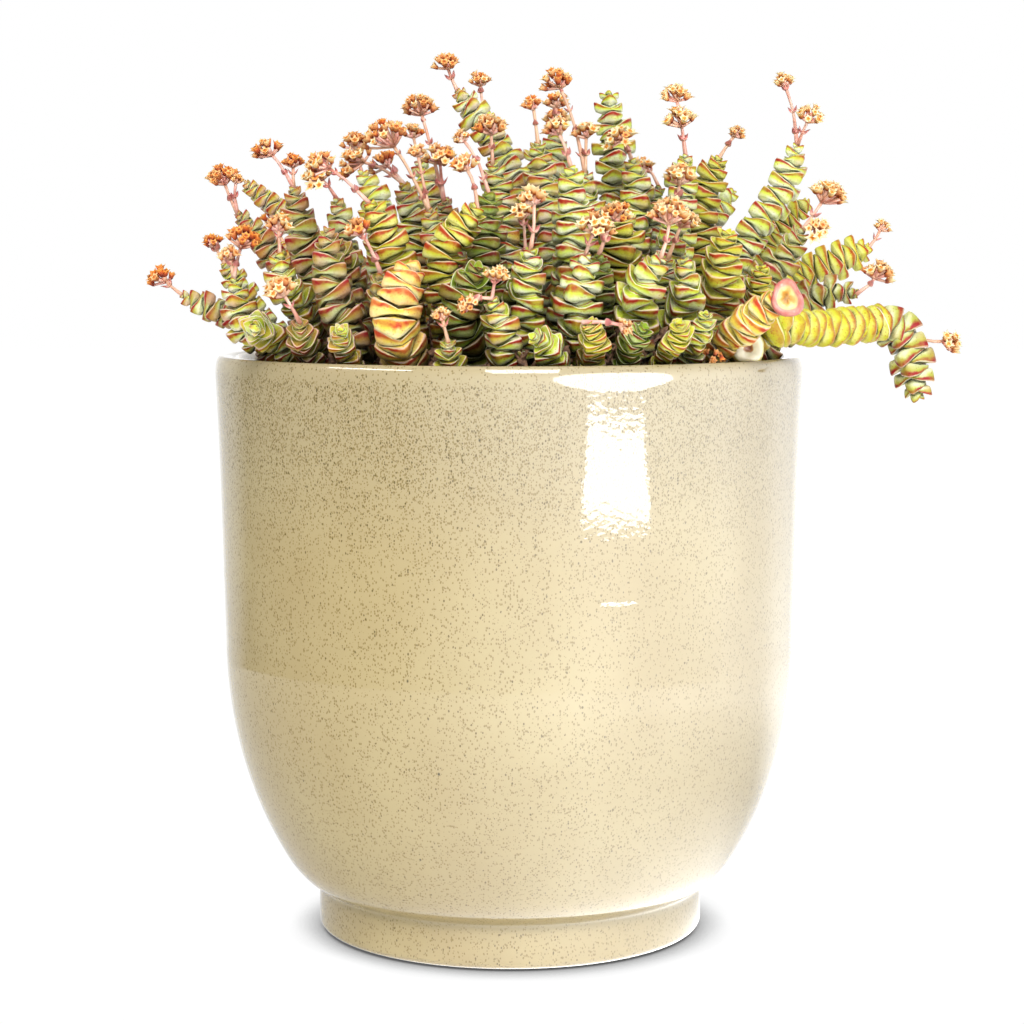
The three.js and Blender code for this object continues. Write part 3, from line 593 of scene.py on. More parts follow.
def leaf_stack(skin, line, entry, looks, rng):
    """A stem's stack of leaf pairs, joined round the stem and each turned a quarter from the last."""
    width, tone = entry["width"], entry["tone"]
    trailing = trails(entry)
    rings, bands, tints, lobes, finishes = [], [], [], [], []
    placed = leaf_lengths(line, width, LEAF_FORMS[tone][4])
    mood = rng.uniform()
    # The stems on the left are the oldest and reddest
    older = -0.006 * float(line.at(1.0)[0][0][0])
    for number, (length, size) in enumerate(placed):
        if trailing:
            tone = "rose" if length > FRESH_PART * line.length else "lime"
        form = "bead" if trailing and tone == "lime" else tone
        filled, slender, blunt, lift, gap, full, waist = LEAF_FORMS[form]
        room = float(line.at(length)[4][0])
        reach = filled * min(width / 2 * size, room) * rng.uniform(1 - looks.uneven, 1)
        # The lowest two pairs are the smallest
        if number < 2:
            reach *= 0.75 + 0.12 * number
        turn = number * math.pi / 2 + rng.normal(0, STRAY["turn"])
        even = circle(looks.around) - number * math.pi / 2
        own = even - CLOSER * np.sin(2 * even)
        angles = own + turn
        outline = (np.abs(np.cos(own)) ** blunt + np.abs(np.sin(own) / slender) ** blunt) ** (-1 / blunt)
        crooked = [np.cos(fold * own + rng.uniform(0, 6)) for fold in (3, 5)]
        outline *= 1 + 0.03 * crooked[0] + 0.02 * crooked[1]
        tip = np.abs(np.cos(own))
        swell = np.minimum(outline * tip, 1) ** (0.3 if form == "bead" else 1.15)
        pitch = gap * width * size
        thick = pitch * (looks.thick_side + (full - looks.thick_side) * swell)
        raised = reach * (lift + 0.6 * (1 - size)) * tip ** 1.5
        raised += pitch * 0.07 * np.cos(4 * own + rng.uniform(0, 6))
        lean = rng.normal(0, looks.lean, 2)
        halves = rng.normal(0, STRAY["along"]), rng.normal(0, STRAY["across"])
        uneven = 1 + halves[0] * np.cos(own) + halves[1] * np.sin(own)
        tint = older + 0.5 * mood + 0.5 * rng.uniform() + rng.normal(0, STRAY["tint"]) * np.cos(own)
        tint = np.clip(tint, 0, 1.3)
        aside = rng.normal(0, STRAY["aside"], 2)
        for out, height, band in BEAD_PROFILE if form == "bead" else LEAF_PROFILE:
            radius = reach * (waist + (outline * np.minimum(uneven, 1) - waist) * out)
            place, along, side, across, _ = line.at(length + height * pitch * FOLLOWED)
            level = (height * (thick - pitch * FOLLOWED) + raised * out * out + pitch * 0.05 * swell
                     + radius * (lean[0] * np.cos(own) + lean[1] * np.sin(own)))
            x = radius * (np.cos(angles) + aside[0] * out)
            y = radius * (np.sin(angles) + aside[1] * out)
            rings.append(place + x[:, None] * side + y[:, None] * across + level[:, None] * along)
            bands.append(np.full(len(angles), band))
            tints.append(tint)
            lobes.append(tip * 0.1 + 1.1 * (length / line.length) ** 2 if form == "bead" else tip)
            finishes.append(f"{tone}_leaf")
    top = line.at(line.length + 0.2)[0][0]
    skin.loft(rings, finishes, (None, top), band=bands, tint=tints, lobe=lobes)
    return placed[0][0]


def tube(skin, line, start, end, radii, finish, sides=8, step=2.5, **values):
    """A round tube along a line between two lengths, with radii that run from its start to its end."""
    count = max(2, int((end - start) / step) + 1)
    lengths = np.linspace(start, end, count)
    place, _, side, across, _ = line.at(lengths)
    angles = circle(sides)
    radius = np.interp(np.linspace(0, 1, count), np.linspace(0, 1, len(radii)), radii)[:, None, None]
    ways = side[:, None] * np.cos(angles)[:, None] + across[:, None] * np.sin(angles)[:, None]
    skin.loft(place[:, None] + ways * radius, finish, **values)


# A bract from its foot: how far out each ring is, how broad and how high, in bract lengths, and its band
BRACT = ((0.0, 0.30, 0.0, 0.2), (0.25, 0.50, 0.10, 0.5), (0.55, 0.46, 0.35, 0.8), (0.82, 0.24, 0.68, 1.0))


def bract_pair(skin, line, length, size, turn, tint, finish="flower_stalk"):
    """A pair of small pointed leaves on a stalk."""
    place, along, side, across, _ = (value[0] for value in line.at(length))
    angles = circle(6)[:, None]
    for angle in (turn, turn + math.pi):
        out = side * math.cos(angle) + across * math.sin(angle)
        wide = np.cross(along, out) * 0.9
        thick = to_unit(along * 0.8 - out * 0.6) * 0.32
        rings = [place + out * (size * share * 0.8) + along * (size * rise)
                 + (wide * np.cos(angles) + thick * np.sin(angles)) * breadth * size
                 for share, breadth, rise, _ in BRACT]
        end = place + out * (size * 0.86) + along * (size * 0.95)
        skin.loft(rings, finish, (None, end), band=[[row[3]] for row in BRACT], tint=tint, lobe=1.0)


# A dried floret from its foot to its throat: height, the radius under a petal, the radius between
# two petals, and the place in its run of colours.
FLORET_PROFILE = (
    (0.00, 0.10, 0.10, 0.00),
    (0.16, 0.21, 0.20, 0.10),
    (0.36, 0.26, 0.23, 0.26),
    (0.54, 0.35, 0.27, 0.50),
    (0.68, 0.46, 0.31, 0.66),
    (0.75, 0.54, 0.32, 0.75),
    (0.71, 0.44, 0.27, 0.72),
    (0.62, 0.22, 0.18, 0.86),
    (0.74, 0.07, 0.07, 1.00),
)


def floret(skin, foot, way, size, spread, tint, rng):
    """One flower: a small cup with five pointed petals round a disc."""
    spare = np.array([0.0, 0.0, 1.0]) if abs(way[2]) < 0.9 else np.array([1.0, 0.0, 0.0])
    side = to_unit(np.cross(spare, way))
    across = np.cross(way, side)
    angles = circle(10, rng.uniform(0, 2))
    petal = np.arange(10) % 2 == 0
    curl = rng.uniform(0.8, 1.15, 10)
    rings, bands = [], []
    for height, under, between, band in FLORET_PROFILE:
        open_out = 1 + (spread - 1) * height
        radius = size * np.where(petal, under * open_out * curl, between)
        level = size * height * np.where(petal, 1, 0.8)
        rings.append(foot + way * level[:, None] + side * (radius * np.cos(angles))[:, None]
                     + across * (radius * np.sin(angles))[:, None])
        bands.append(np.where(petal | (band > 0.8), band, band * 0.75))
    skin.loft(rings, "dried_floret", band=bands, tint=tint, lobe=petal.astype(float))


def flower_head(skin, line, reach, looks, rng):
    """A flat-topped cluster of dried florets on short stalks, within the reach of its solid."""
    place, along, side, across, _ = (value[0] for value in line.at(line.length))
    upright = to_unit(along + np.array([0, 0, 0.8]))
    side = to_unit(side - upright * np.dot(side, upright))
    across = np.cross(upright, side)
    size = min(looks.floret / MM, reach * 0.66)
    count = int(np.clip(round(looks.crowded * (reach / size) ** 2), 5, 24))
    fork = place - along * reach * 0.5
    age = np.clip(rng.uniform(-0.05, 0.75) - place[0] / 180, 0, 1)
    for k in range(count):
        share = math.sqrt((k + 0.5) / count)
        turn = k * GOLDEN + rng.uniform(-0.3, 0.3)
        own = size * rng.uniform(0.8, 1.15)
        out = share * max(reach - own * 0.5, 0.2 * reach) * rng.uniform(0.78, 1.02)
        rise = reach * (0.36 - 0.5 * share ** 2) + rng.uniform(-0.6, 0.4)
        outward = side * math.cos(turn) + across * math.sin(turn)
        foot = place + outward * out * 0.82 + upright * (rise - own * 0.5)
        lean = to_unit(upright + outward * 0.95 * share + rng.normal(0, 0.15, 3))
        thread = Chain([fork, (fork + foot) / 2 + outward * out * 0.12, foot + lean * own * 0.1])
        short = Line(thread, turn)
        tube(skin, short, 0, short.length, (0.45, 0.30, 0.34), "flower_stalk", 5, 2.0, band=0.4,
             tint=rng.uniform())
        tint = np.clip(age + rng.normal(0, 0.32), 0, 1)
        floret(skin, foot, lean, own, rng.uniform(0.6, 1.25) * (1.1 - 0.3 * age), tint, rng)


# Where a spray's stalks start on their lines, in millimetres, with what is below zero inside the stem: one
# with a solid of its own, and one that is part of its plant's solid
OWN_START = -0.5
SMALL_START = -1.5


def flower_spray(skin, heads, start, index, looks, rng):
    """The stalks of one stem with their bracts and flower heads."""
    for k, chain in enumerate(heads):
        line = Line(chain, (index + k) * GOLDEN)
        reach = float(chain.radii[-1])
        stop = line.length - reach * 0.5
        tint = rng.uniform()
        stalk = looks.stalk / MM
        tube(skin, line, start, stop, (stalk * 1.8, stalk * 1.3, stalk, stalk * 1.2), "flower_stalk", 8,
             2.0, band=0.4, tint=tint)
        length = 3.0 + rng.uniform(0, 1.5)
        number = 0
        while length < stop - 1.0:
            size = max(1.9 - 0.25 * number, 0.9) * rng.uniform(0.8, 1.15)
            bract_pair(skin, line, length, size, number * math.pi / 2 + rng.uniform(-0.2, 0.2), tint)
            length += rng.uniform(4.5, 7.0)
            number += 1
        flower_head(skin, line, reach, looks, rng)


def crown(skin, x, y, rng):
    """The knotty foot that the stems of one plant grow from."""
    profile = ((2.6, -8.4), (3.4, -3.0), (3.9, 0.4), (3.3, 1.8), (1.8, 2.9))
    rings = turned_rings(profile, 14)
    lumps = 1 + rng.uniform(-0.12, 0.06, rings.shape[:2])
    rings[..., :2] *= lumps[..., None]
    skin.loft(rings + np.array([x, y, SOIL["level"]]), "woody_stem", tint=rng.uniform())


# Rows of radius, height and band of a leaf that was cut across, and of a leaf that curled up
CUT_LEAF = ((0.4, -3.0, 1.0), (2.6, -2.8, 1.0), (3.5, -1.8, 1.0), (3.75, -0.4, 0.98), (3.6, 0.3, 0.92),
            (3.2, 0.62, 0.78), (2.4, 0.66, 0.55), (1.4, 0.52, 0.45), (0.95, 0.34, 0.30), (0.55, 0.10, 0.10))
CURLED_LEAF = ((0.6, -1.6, 1.0), (2.6, -1.4, 1.0), (3.9, -0.6, 1.0), (4.3, 0.4, 1.0), (4.0, 1.3, 0.98),
               (3.4, 1.6, 0.95), (2.9, 1.2, 0.85), (2.6, 0.5, 0.40), (1.6, 0.4, 0.25), (0.6, 0.8, 0.15))


def odd_leaf(skin, place, way, rows, tint, rng, squares=2.0, width=1.0, bent=0.05):
    """One leaf that faces a way of its own, turned round its middle from rows of radius and height.

    It is oval where squares is 2 and squarer above that, and bent says how crooked it is.
    """
    way = to_unit(np.array(way, float))
    side = to_unit(np.cross((0.0, 0.0, 1.0), way))
    across = np.cross(way, side)
    angles = circle(24)
    outline = (np.abs(np.cos(angles)) ** squares + np.abs(np.sin(angles)) ** squares) ** (-1 / squares)
    crooked = [np.cos(fold * angles + rng.uniform(0, 6)) for fold in (2, 3, 2)]
    outline *= 1 + bent * (crooked[0] + crooked[1])
    wave = bent * (8 * crooked[2] + 4 * np.cos(5 * angles))
    rings, bands = [], []
    for radius, height, band in rows:
        level = height + wave * min(radius / 3, 1)
        level += rng.normal(0, 2 * bent, len(angles)) * (band < 0.9)
        own = radius * outline
        rings.append(np.array(place) + side * (own * np.cos(angles) * width)[:, None]
                     + across * (own * np.sin(angles))[:, None] + way * level[:, None])
        bands.append(np.full(len(angles), band))
    skin.loft(rings, "cut_leaf", band=bands, tint=tint)


# The way of the fine root that hangs over the trailing stem
FINE_ROOT = ((89.6, -27.5, 160.6), (90.2, -31.0, 160.0), (90.7, -33.4, 158.9), (91.6, -32.6, 157.4),
             (92.4, -31.5, 155.9), (92.8, -31.2, 154.6), (92.9, -28.5, 152.8))


def rim_litter(skin, rng):
    """What lies at the rim on the right: a cut leaf, a curled leaf, a fine root and dried flowers."""
    odd_leaf(skin, (57.0, -43.6, 151.0), (0.05, -1.0, 0.1), CUT_LEAF, 0.0, rng, 2.8, 1.05, 0.02)
    odd_leaf(skin, (64.4, -60.6, 163.0), (-0.15, -1.0, 0.25), CURLED_LEAF, 1.0, rng, 2.0, 0.92, 0.09)
    root = Line(Chain(FINE_ROOT), 0.0)
    tube(skin, root, 0, root.length, (0.12, 0.10, 0.12), "cut_leaf", 5, 0.7, band=0.6)
    for _ in range(9):
        foot = np.array([rng.uniform(46, 52), rng.uniform(-50, -47), rng.uniform(147.9, 149.6)])
        floret(skin, foot, to_unit(rng.normal(0, 1, 3) + (0, -0.6, 0.5)), rng.uniform(1.6, 2.3), 0.8,
               rng.uniform(0.7, 1.0), rng)


def dry_stems(skin, count, rng):
    """Withered stems that arch low over the soil between the plants, each with a few shrivelled leaves."""
    edge = wall_radius(SOIL["level"]) - POT["wall"] - 4
    for _ in range(count):
        out, angle = edge * math.sqrt(rng.uniform(0.15, 1)), rng.uniform(0, 2 * math.pi)
        start = np.array([out * math.cos(angle), out * math.sin(angle), SOIL["level"] - 1])
        way = rng.uniform(0, 2 * math.pi)
        reach, rise = rng.uniform(8, 24), rng.uniform(5, 25)
        places = [start]
        for share in (0.25, 0.5, 0.75, 1.0):
            way += rng.normal(0, 0.5)
            step = np.array([math.cos(way), math.sin(way), 0]) * reach * 0.25
            step[:2] *= 1 if np.hypot(*(places[-1] + step)[:2]) < edge else -1
            place = places[-1] + step
            place[2] = SOIL["level"] + rise * math.sin(share * 2.4) + rng.uniform(-1, 1)
            places.append(place)
        line = Line(Chain(places), way)
        thick = rng.uniform(0.35, 0.9)
        tube(skin, line, 0, line.length, (thick, thick * 0.8, thick * 0.5), "woody_stem", 5, 1.8,
             tint=rng.uniform())
        for length in np.arange(3, line.length, rng.uniform(3.5, 6)):
            bract_pair(skin, line, length, rng.uniform(1.2, 2.8), rng.uniform(0, 6), rng.uniform(),
                       "woody_stem")


# Materials

SPRAY_FINISHES = ("flower_stalk", "dried_floret")
FINISHES = (*LEAF_COLOURS, "woody_stem", *SPRAY_FINISHES, "cut_leaf")
# The materials made so far, by finish
MADE = {}
# The setting that a node's kind may end with
MAIN_SETTING = {"MapRange": "interpolation_type", "Math": "operation", "Mix": "data_type",
                "VectorMath": "operation"}
# Runs of colour by what they colour, as shares of the way along each. The cut leaf's, the bract's and
# the florets' go from the heart or foot to the outside or tip.
RUNS = {
    "cut": ((0.15, "#7a3c14"), (0.30, "#b8803c"), (0.40, "#f6eecc"), (0.78, "#faf6da"), (0.90, "#d8d070"),
            (1.0, "#c89a5c")),
    "curled": ((0.08, "#844c1c"), (0.22, "#cc9838"), (0.34, "#f0dc98"), (0.7, "#f0c0ac"),
               (0.9, "#e09888"), (1.0, "#c87068")),
    "stalk": ((0.3, "#c87468"), (0.5, "#e8aca0"), (0.7, "#f6dccc")),
    "bract": ((0.0, "#c9b98a"), (0.5, "#d79a92"), (0.8, "#b84c50"), (1.0, "#8e2f3a")),
    "fresh": ((0.05, "#8a3c1c"), (0.16, "#cc7c34"), (0.32, "#f4cf8c"), (0.76, "#fdeec4"),
              (0.88, "#f8b040"), (1.0, "#d87c1c")),
    "old": ((0.05, "#6c200c"), (0.25, "#c0501c"), (0.5, "#ee8e30"), (0.78, "#f4b058"), (0.9, "#d4661c"),
            (1.0, "#8c3c10")),
    "wood": ((0.3, "#33231a"), (0.5, "#6b4a35"), (0.72, "#9a7a5c")),
    "soil": ((0.3, "#1f1712"), (0.5, "#44342a"), (0.75, "#6d5846")),
    "grain": ((0.0, "#3a2b21"), (0.55, "#5a4433"), (0.8, "#8a6a4e"), (0.95, "#cfc8ba")),
}


def linear(colour):
    """An sRGB hex colour as linear red, green, blue and a full alpha."""
    parts = [int(colour[k:k + 2], 16) / 255 for k in (1, 3, 5)]
    return (*[part / 12.92 if part <= 0.04045 else ((part + 0.055) / 1.055) ** 2.4 for part in parts], 1)


def add(tree, kind, inputs=(), **settings):
    """Adds a node with its settings, and sets its inputs or links them to other nodes.

    The kind may end with its main setting. Inputs are a dictionary, or go to the sockets in use in their
    order. A node stands for its first output in use. Stops are the colours of a ramp.
    """
    kind, _, main = kind.partition(" ")
    node = tree.nodes.new("ShaderNode" + kind)
    if main:
        settings[MAIN_SETTING[kind]] = main
    for name, value in settings.items():
        if name == "stops":
            while len(node.color_ramp.elements) < len(value):
                node.color_ramp.elements.new(0.5)
            for element, (position, colour) in zip(node.color_ramp.elements, value):
                element.position = position
                element.color = linear(colour)
        else:
            setattr(node, name, value)
    if isinstance(inputs, dict):
        pairs = [(node.inputs[name], value) for name, value in inputs.items()]
    else:
        pairs = zip([socket for socket in node.inputs if socket.enabled], inputs)
    for socket, value in pairs:
        if isinstance(value, bpy.types.Node):
            value = next(output for output in value.outputs if output.enabled)
        if isinstance(value, bpy.types.NodeSocket):
            tree.links.new(value, socket)
        else:
            socket.default_value = linear(value) if isinstance(value, str) else value
    return node


def new_material(name, *values):
    """The node tree of a new material, with the named values of its skin and the place on the piece."""
    material = bpy.data.materials.new(name)
    material.use_nodes = True
    tree = material.node_tree
    tree.nodes.clear()
    MADE[name] = material
    kept = [add(tree, "Attribute", attribute_name=value).outputs["Fac"] for value in values]
    return tree, *kept, add(tree, "TexCoord").outputs["Object"]


def cover(tree, colour, roughness, inner, looks):
    """Ends a material with its surface. Inner is the weight, the radii and the scale of its inner light."""
    looks = {"Base Color": colour, "Roughness": roughness, **looks}
    looks.update(zip(("Subsurface Weight", "Subsurface Radius", "Subsurface Scale"), inner))
    add(tree, "OutputMaterial", {"Surface": add(tree, "BsdfPrincipled", looks)})


def end_by_ray(tree, output, plain, mirrored, seen):
    """Ends a tree with what the light, the reflections and the camera each meet."""
    ray = add(tree, "LightPath").outputs
    mixed = add(tree, "MixShader", (ray["Is Glossy Ray"], plain, mirrored))
    mixed = add(tree, "MixShader", (ray["Is Camera Ray"], mixed, seen))
    add(tree, output, {"Surface": mixed})


def wavering(tree, value, noise, spread):
    """A value that noise moves up and down, by half the spread each way."""
    moved = add(tree, "Math MULTIPLY_ADD", (noise, spread, value))
    return add(tree, "Math SUBTRACT", (moved, spread / 2))


def leaf_material(name, body, under, edge, line, blush, glow):
    """A waxy succulent leaf: satin skin with a pale rim, a wine-red line under it and soft inner light."""
    tree, band, tint, lobe, place = new_material(name, "band", "tint", "lobe")
    # The line along the rim wavers over about 2 mm
    waver = add(tree, "TexNoise", (place, 450.0, 3.0))
    shifted = wavering(tree, band, waver, 0.26)
    # Mottling of the skin over about 3 mm, and a pale bloom on the swollen underside that is partly real wax
    # and partly painted sheen
    mottle = add(tree, "TexNoise", (place, 300.0, 4.0))
    cloud = add(tree, "MapRange", (mottle, 0.5, 0.85))
    skin = add(tree, "Mix RGBA", (cloud, body, under))
    pale = add(tree, "MapRange SMOOTHSTEP", (shifted, 0.74, 0.44, 0.0, 0.85))
    patchy = add(tree, "MapRange", (mottle, 0.35, 0.58, 0.45))
    pale = add(tree, "Math MULTIPLY", (pale, patchy))
    skin = add(tree, "Mix RGBA", (pale, skin, under))
    # Older and sunnier leaves are redder towards their tips
    sunny = add(tree, "Math MULTIPLY_ADD", (tint, 0.7, lobe))
    sunny = add(tree, "MapRange", (sunny, 1.2, 1.7, 0.0, 0.6))
    skin = add(tree, "Mix RGBA", (sunny, skin, blush))
    # Dots of dark sap under the skin, about 0.7 mm apart
    dots = add(tree, "TexVoronoi", (place, 1500.0))
    dot = add(tree, "MapRange", (dots, 0.36, 0.16))
    chosen = add(tree, "SeparateXYZ", (dots.outputs["Color"],))
    dot = add(tree, "Math MULTIPLY", (dot, chosen))
    upper = add(tree, "MapRange", (shifted, 0.4, 0.8, 0.25, 0.8))
    dot = add(tree, "Math MULTIPLY", (dot, upper))
    skin = add(tree, "Mix RGBA", (dot, skin, line))
    # The red line under the rim, which spreads down and is strongest towards the tips
    red = add(tree, "MapRange SMOOTHSTEP", (shifted, 0.70, 0.86))
    for share in (add(tree, "MapRange SMOOTHSTEP", (shifted, 0.94, 1.02, 1.0, 0.0)),
                  add(tree, "MapRange", (mottle, 0.3, 0.55, 0.45, 1.0)),
                  add(tree, "MapRange", (lobe, 0.1, 0.8, 0.5))):
        red = add(tree, "Math MULTIPLY", (red, share))
    skin = add(tree, "Mix RGBA", (red, skin, line))
    # The rim is worn pale, and pink at the tips
    rim = add(tree, "MapRange SMOOTHSTEP", (band, 0.94, 1.0))
    for share in (add(tree, "MapRange SMOOTHSTEP", (band, 1.04, 1.12, 1.0, 0.0)), waver, 1.5):
        rim = add(tree, "Math MULTIPLY", (rim, share))
    pink = add(tree, "MapRange", (lobe, 0.7, 1.0, 0.0, 0.5))
    margin = add(tree, "Mix RGBA", (pink, edge, "#c8647c"))
    skin = add(tree, "Mix RGBA", (rim, skin, margin))
    # Painted shade: colour darkens the crease under each leaf, by its band, and the gaps between the stems
    painted_crease_shade = add(tree, "MapRange SMOOTHSTEP", (band, 0.16, 0.0, 0.0, 0.85))
    skin = add(tree, "Mix RGBA", (painted_crease_shade, skin, "#2c2a10"))
    # Painted shade in the gaps, darker where the occlusion closes in, within 4 mm and within 30 mm
    for reach, wide, narrow, most, dark in ((0.004, 0.60, 0.16, 0.92, "#141000"),
                                            (0.03, 0.42, 0.08, 0.93, "#0a0b00")):
        closed = add(tree, "AmbientOcclusion", {"Distance": reach}, samples=4).outputs["AO"]
        closed = add(tree, "MapRange", (closed, wide, narrow, 0.0, most))
        skin = add(tree, "Mix RGBA", (closed, skin, dark))
    # Fine dents of the skin, about 0.4 mm apart and drawn twice as coarse to show
    dents = add(tree, "TexNoise", (place, 1200.0, 2.0))
    bump = add(tree, "Bump", {"Height": dents, "Strength": 0.12, "Distance": 0.0003})
    cover(tree, skin, 0.4, (glow, (1.0, 0.8, 0.3), 0.0012), {"Specular IOR Level": 0.08, "Normal": bump})


def cut_leaf_material():
    """The wet flesh of a cut leaf with its brown heart, and the pink skin of one that curled up."""
    tree, band, tint, place = new_material("cut_leaf", "band", "tint")
    grain = add(tree, "TexNoise", (place, 700.0, 4.0))
    shifted = wavering(tree, band, grain, 0.24)
    cut, curled = (add(tree, "ValToRGB", (shifted,), stops=RUNS[name]) for name in ("cut", "curled"))
    body = add(tree, "Mix RGBA", (tint, cut, curled))
    bump = add(tree, "Bump", {"Height": grain, "Strength": 0.3, "Distance": 0.0003})
    cover(tree, body, 0.35, (0.2, (1.0, 0.8, 0.4), 0.0008), {"IOR": 1.4, "Normal": bump})


def stalk_material():
    """A fleshy pink flower stalk: waxy and streaked, and red at the bracts' tips."""
    tree, band, tint, place = new_material("flower_stalk", "band", "tint")
    streak = add(tree, "TexNoise", (place, 260.0, 3.0))
    body = add(tree, "ValToRGB", (streak,), stops=RUNS["stalk"])
    body = add(tree, "Mix RGBA", (tint, body, "#d8ac8a"))
    ends = add(tree, "ValToRGB", (band,), stops=RUNS["bract"])
    share = add(tree, "Math GREATER_THAN", (band, 0.55))
    share = add(tree, "Math MULTIPLY", (share, 0.7))
    body = add(tree, "Mix RGBA", (share, body, ends))
    cover(tree, body, 0.45, (0.15, (1.0, 0.5, 0.4), 0.0006), {"IOR": 1.42})


def floret_material():
    """Dried petals: papery and rough, dark rust at the foot and straw-coloured at the tips."""
    tree, band, tint, place = new_material("dried_floret", "band", "tint")
    crumple = add(tree, "TexNoise", (place, 900.0, 3.0))
    shifted = wavering(tree, band, crumple, 0.3)
    fresh, old = (add(tree, "ValToRGB", (shifted,), stops=RUNS[name]) for name in ("fresh", "old"))
    body = add(tree, "Mix RGBA", (tint, fresh, old))
    cover(tree, body, 0.75, (0.1, (1.0, 0.6, 0.3), 0.0004), {"IOR": 1.45})


def wood_material():
    """Old corky stems: dull and fibrous, with fibres about 1 mm apart."""
    tree, place = new_material("woody_stem")
    fibre = add(tree, "TexNoise", (place, 900.0, 5.0))
    body = add(tree, "ValToRGB", (fibre,), stops=RUNS["wood"])
    bump = add(tree, "Bump", {"Height": fibre, "Strength": 0.5, "Distance": 0.0004})
    cover(tree, body, 0.85, (), {"Normal": bump})


def soil_material():
    """Potting soil: dark, matt and crumbly, with crumbs about 2 mm across."""
    tree, tint, place = new_material("potting_soil", "tint")
    crumb = add(tree, "TexNoise", (place, 500.0, 6.0))
    body = add(tree, "ValToRGB", (crumb,), stops=RUNS["soil"])
    # A few of the grains are pale pumice and brown bark
    grain = add(tree, "ValToRGB", (tint,), stops=RUNS["grain"])
    share = add(tree, "Math GREATER_THAN", (tint, 0.001))
    body = add(tree, "Mix RGBA", (share, body, grain))
    bump = add(tree, "Bump", {"Height": crumb, "Strength": 0.8, "Distance": 0.001})
    cover(tree, body, 0.95, (), {"Normal": bump})


# The glaze's specks in three sizes: cells to the metre, how much of its cell a speck fills, the share of
# cells that have one low down and at the rim, and their colour and its strength. The finest real ones
# are under 0.2 mm, and are drawn at 0.3 mm to show.
SPECKS = ((2500.0, 0.42, 0.36, 0.90, "#6e5a1e", 0.60), (1900.0, 0.30, 0.08, 0.60, "#483a12", 0.70),
          (420.0, 0.09, 0.05, 0.12, "#2a2618", 0.95))


def glaze_material(looks):
    """Glazed stoneware: a hard gloss over oatmeal clay, with iron specks that bleed through the glaze."""
    tree, place = new_material("glazed_stoneware")
    height = add(tree, "SeparateXYZ", (place,)).outputs[2]
    cloud = add(tree, "TexNoise", (place, 22.0, 3.0))
    body = add(tree, "ValToRGB", (cloud,), stops=((0.35, looks.glaze_dark), (0.65, looks.glaze_light)))
    # The glaze is a little greyer towards the rim
    near_rim = add(tree, "MapRange SMOOTHSTEP", (height, 0.095, 0.140))
    share = add(tree, "Math MULTIPLY", (near_rim, 0.35))
    body = add(tree, "Mix RGBA", (share, body, "#a39a82"))
    # The specks run down a little, and the lip has few
    stretched = add(tree, "Mapping", {"Vector": place, "Scale": (1.0, 1.0, 0.66)})
    lip = add(tree, "MapRange", (height, 0.1448, 0.1430, 0.25))
    for scale, speck, few, many, dark, strength in SPECKS:
        cells = add(tree, "TexVoronoi", (stretched, scale))
        pick, grown, _ = add(tree, "SeparateXYZ", (cells.outputs["Color"],)).outputs
        share = add(tree, "MapRange", (near_rim, 0.0, 1.0, few, many))
        share = add(tree, "Math MULTIPLY", (share, lip))
        chosen = add(tree, "Math LESS_THAN", (pick, share))
        grown = add(tree, "Math MULTIPLY_ADD", (grown, speck, speck * 0.5))
        inside = add(tree, "Math SUBTRACT", (grown, cells))
        soft = add(tree, "MapRange", (inside, -0.03, 0.08, 0.0, strength))
        share = add(tree, "Math MULTIPLY", (soft, chosen))
        body = add(tree, "Mix RGBA", (share, body, dark))
    # Painted shade: the groove over the foot is darkened by colour
    share = add(tree, "MapRange SMOOTHSTEP", (height, 0.0125, 0.0155, 1.0, 0.0))
    for part in (add(tree, "MapRange SMOOTHSTEP", (height, 0.0085, 0.0110)), 0.5):
        share = add(tree, "Math MULTIPLY", (share, part))
    body = add(tree, "Mix RGBA", (share, body, "#8e8258"))
    # The gloss has fine ripples like an orange's skin, about 1.3 mm apart
    waves = add(tree, "TexNoise", (place, 750.0, 1.0))
    bump = add(tree, "Bump", {"Height": waves, "Strength": 1.0, "Distance": 0.000016})
    cover(tree, body, 0.6, (), {"Specular IOR Level": 0.0, "Coat Weight": 1.0, "Coat IOR": 1.5,
                                "Coat Roughness": looks.gloss, "Coat Normal": bump})


# The studio's walls round the pot, by the angle in degrees from the front to the right: how bright they
# are in reflections, as a grey, with the strength of white
MIRRORED = 8.4
STUDIO_WALLS = ((-180, "#6c6c6c"), (-156, "#656565"), (-133, "#585858"), (-120, "#242424"),
                (-58, "#262626"), (-40, "#4c4c4c"), (-20, "#8a8a8a"), (0, "#b8b8b8"), (16, "#d4d4d4"),
                (30, "#ebebeb"), (38, "#eeeeee"), (88, "#e4e4e4"), (100, "#cacaca"), (112, "#b6b6b6"),
                (124, "#ababab"), (142, "#868686"))
# The same for the paper under the pot, as painted light and shade that it glows with in reflections: on its
# left, and from the front to the right further out and close to the pot, with the pot's shade painted there
LEFT_SWEEP = ((-180, "#6c6c6c"), (-120, "#5c5c5c"), (-58, "#585858"), (-38, "#747474"))
NEAR_SWEEP = (*LEFT_SWEEP, (-3, "#c0c0c0"), (24, "#f2f2f2"), (62, "#fdfdfd"), (82, "#e9e9e9"),
              (95, "#cfcfcf"), (106, "#b8b8b8"), (124, "#adadad"), (142, "#898989"))
CLOSE_PAINTED_SHADE = (*LEFT_SWEEP, (0, "#bcbcbc"), (24, "#dcdcdc"), (45, "#dcdcdc"), (62, "#cecece"),
               (82, "#acacac"), (95, "#8c8c8c"), (108, "#747474"), (142, "#6c6c6c"))
# Distances from the pot's axis in metres: where the pot's painted shade on the paper ends, and its edge
PAINTED_SHADE_FADE = (0.13, 0.30)
PAPER_EDGE = (0.385, 0.415)


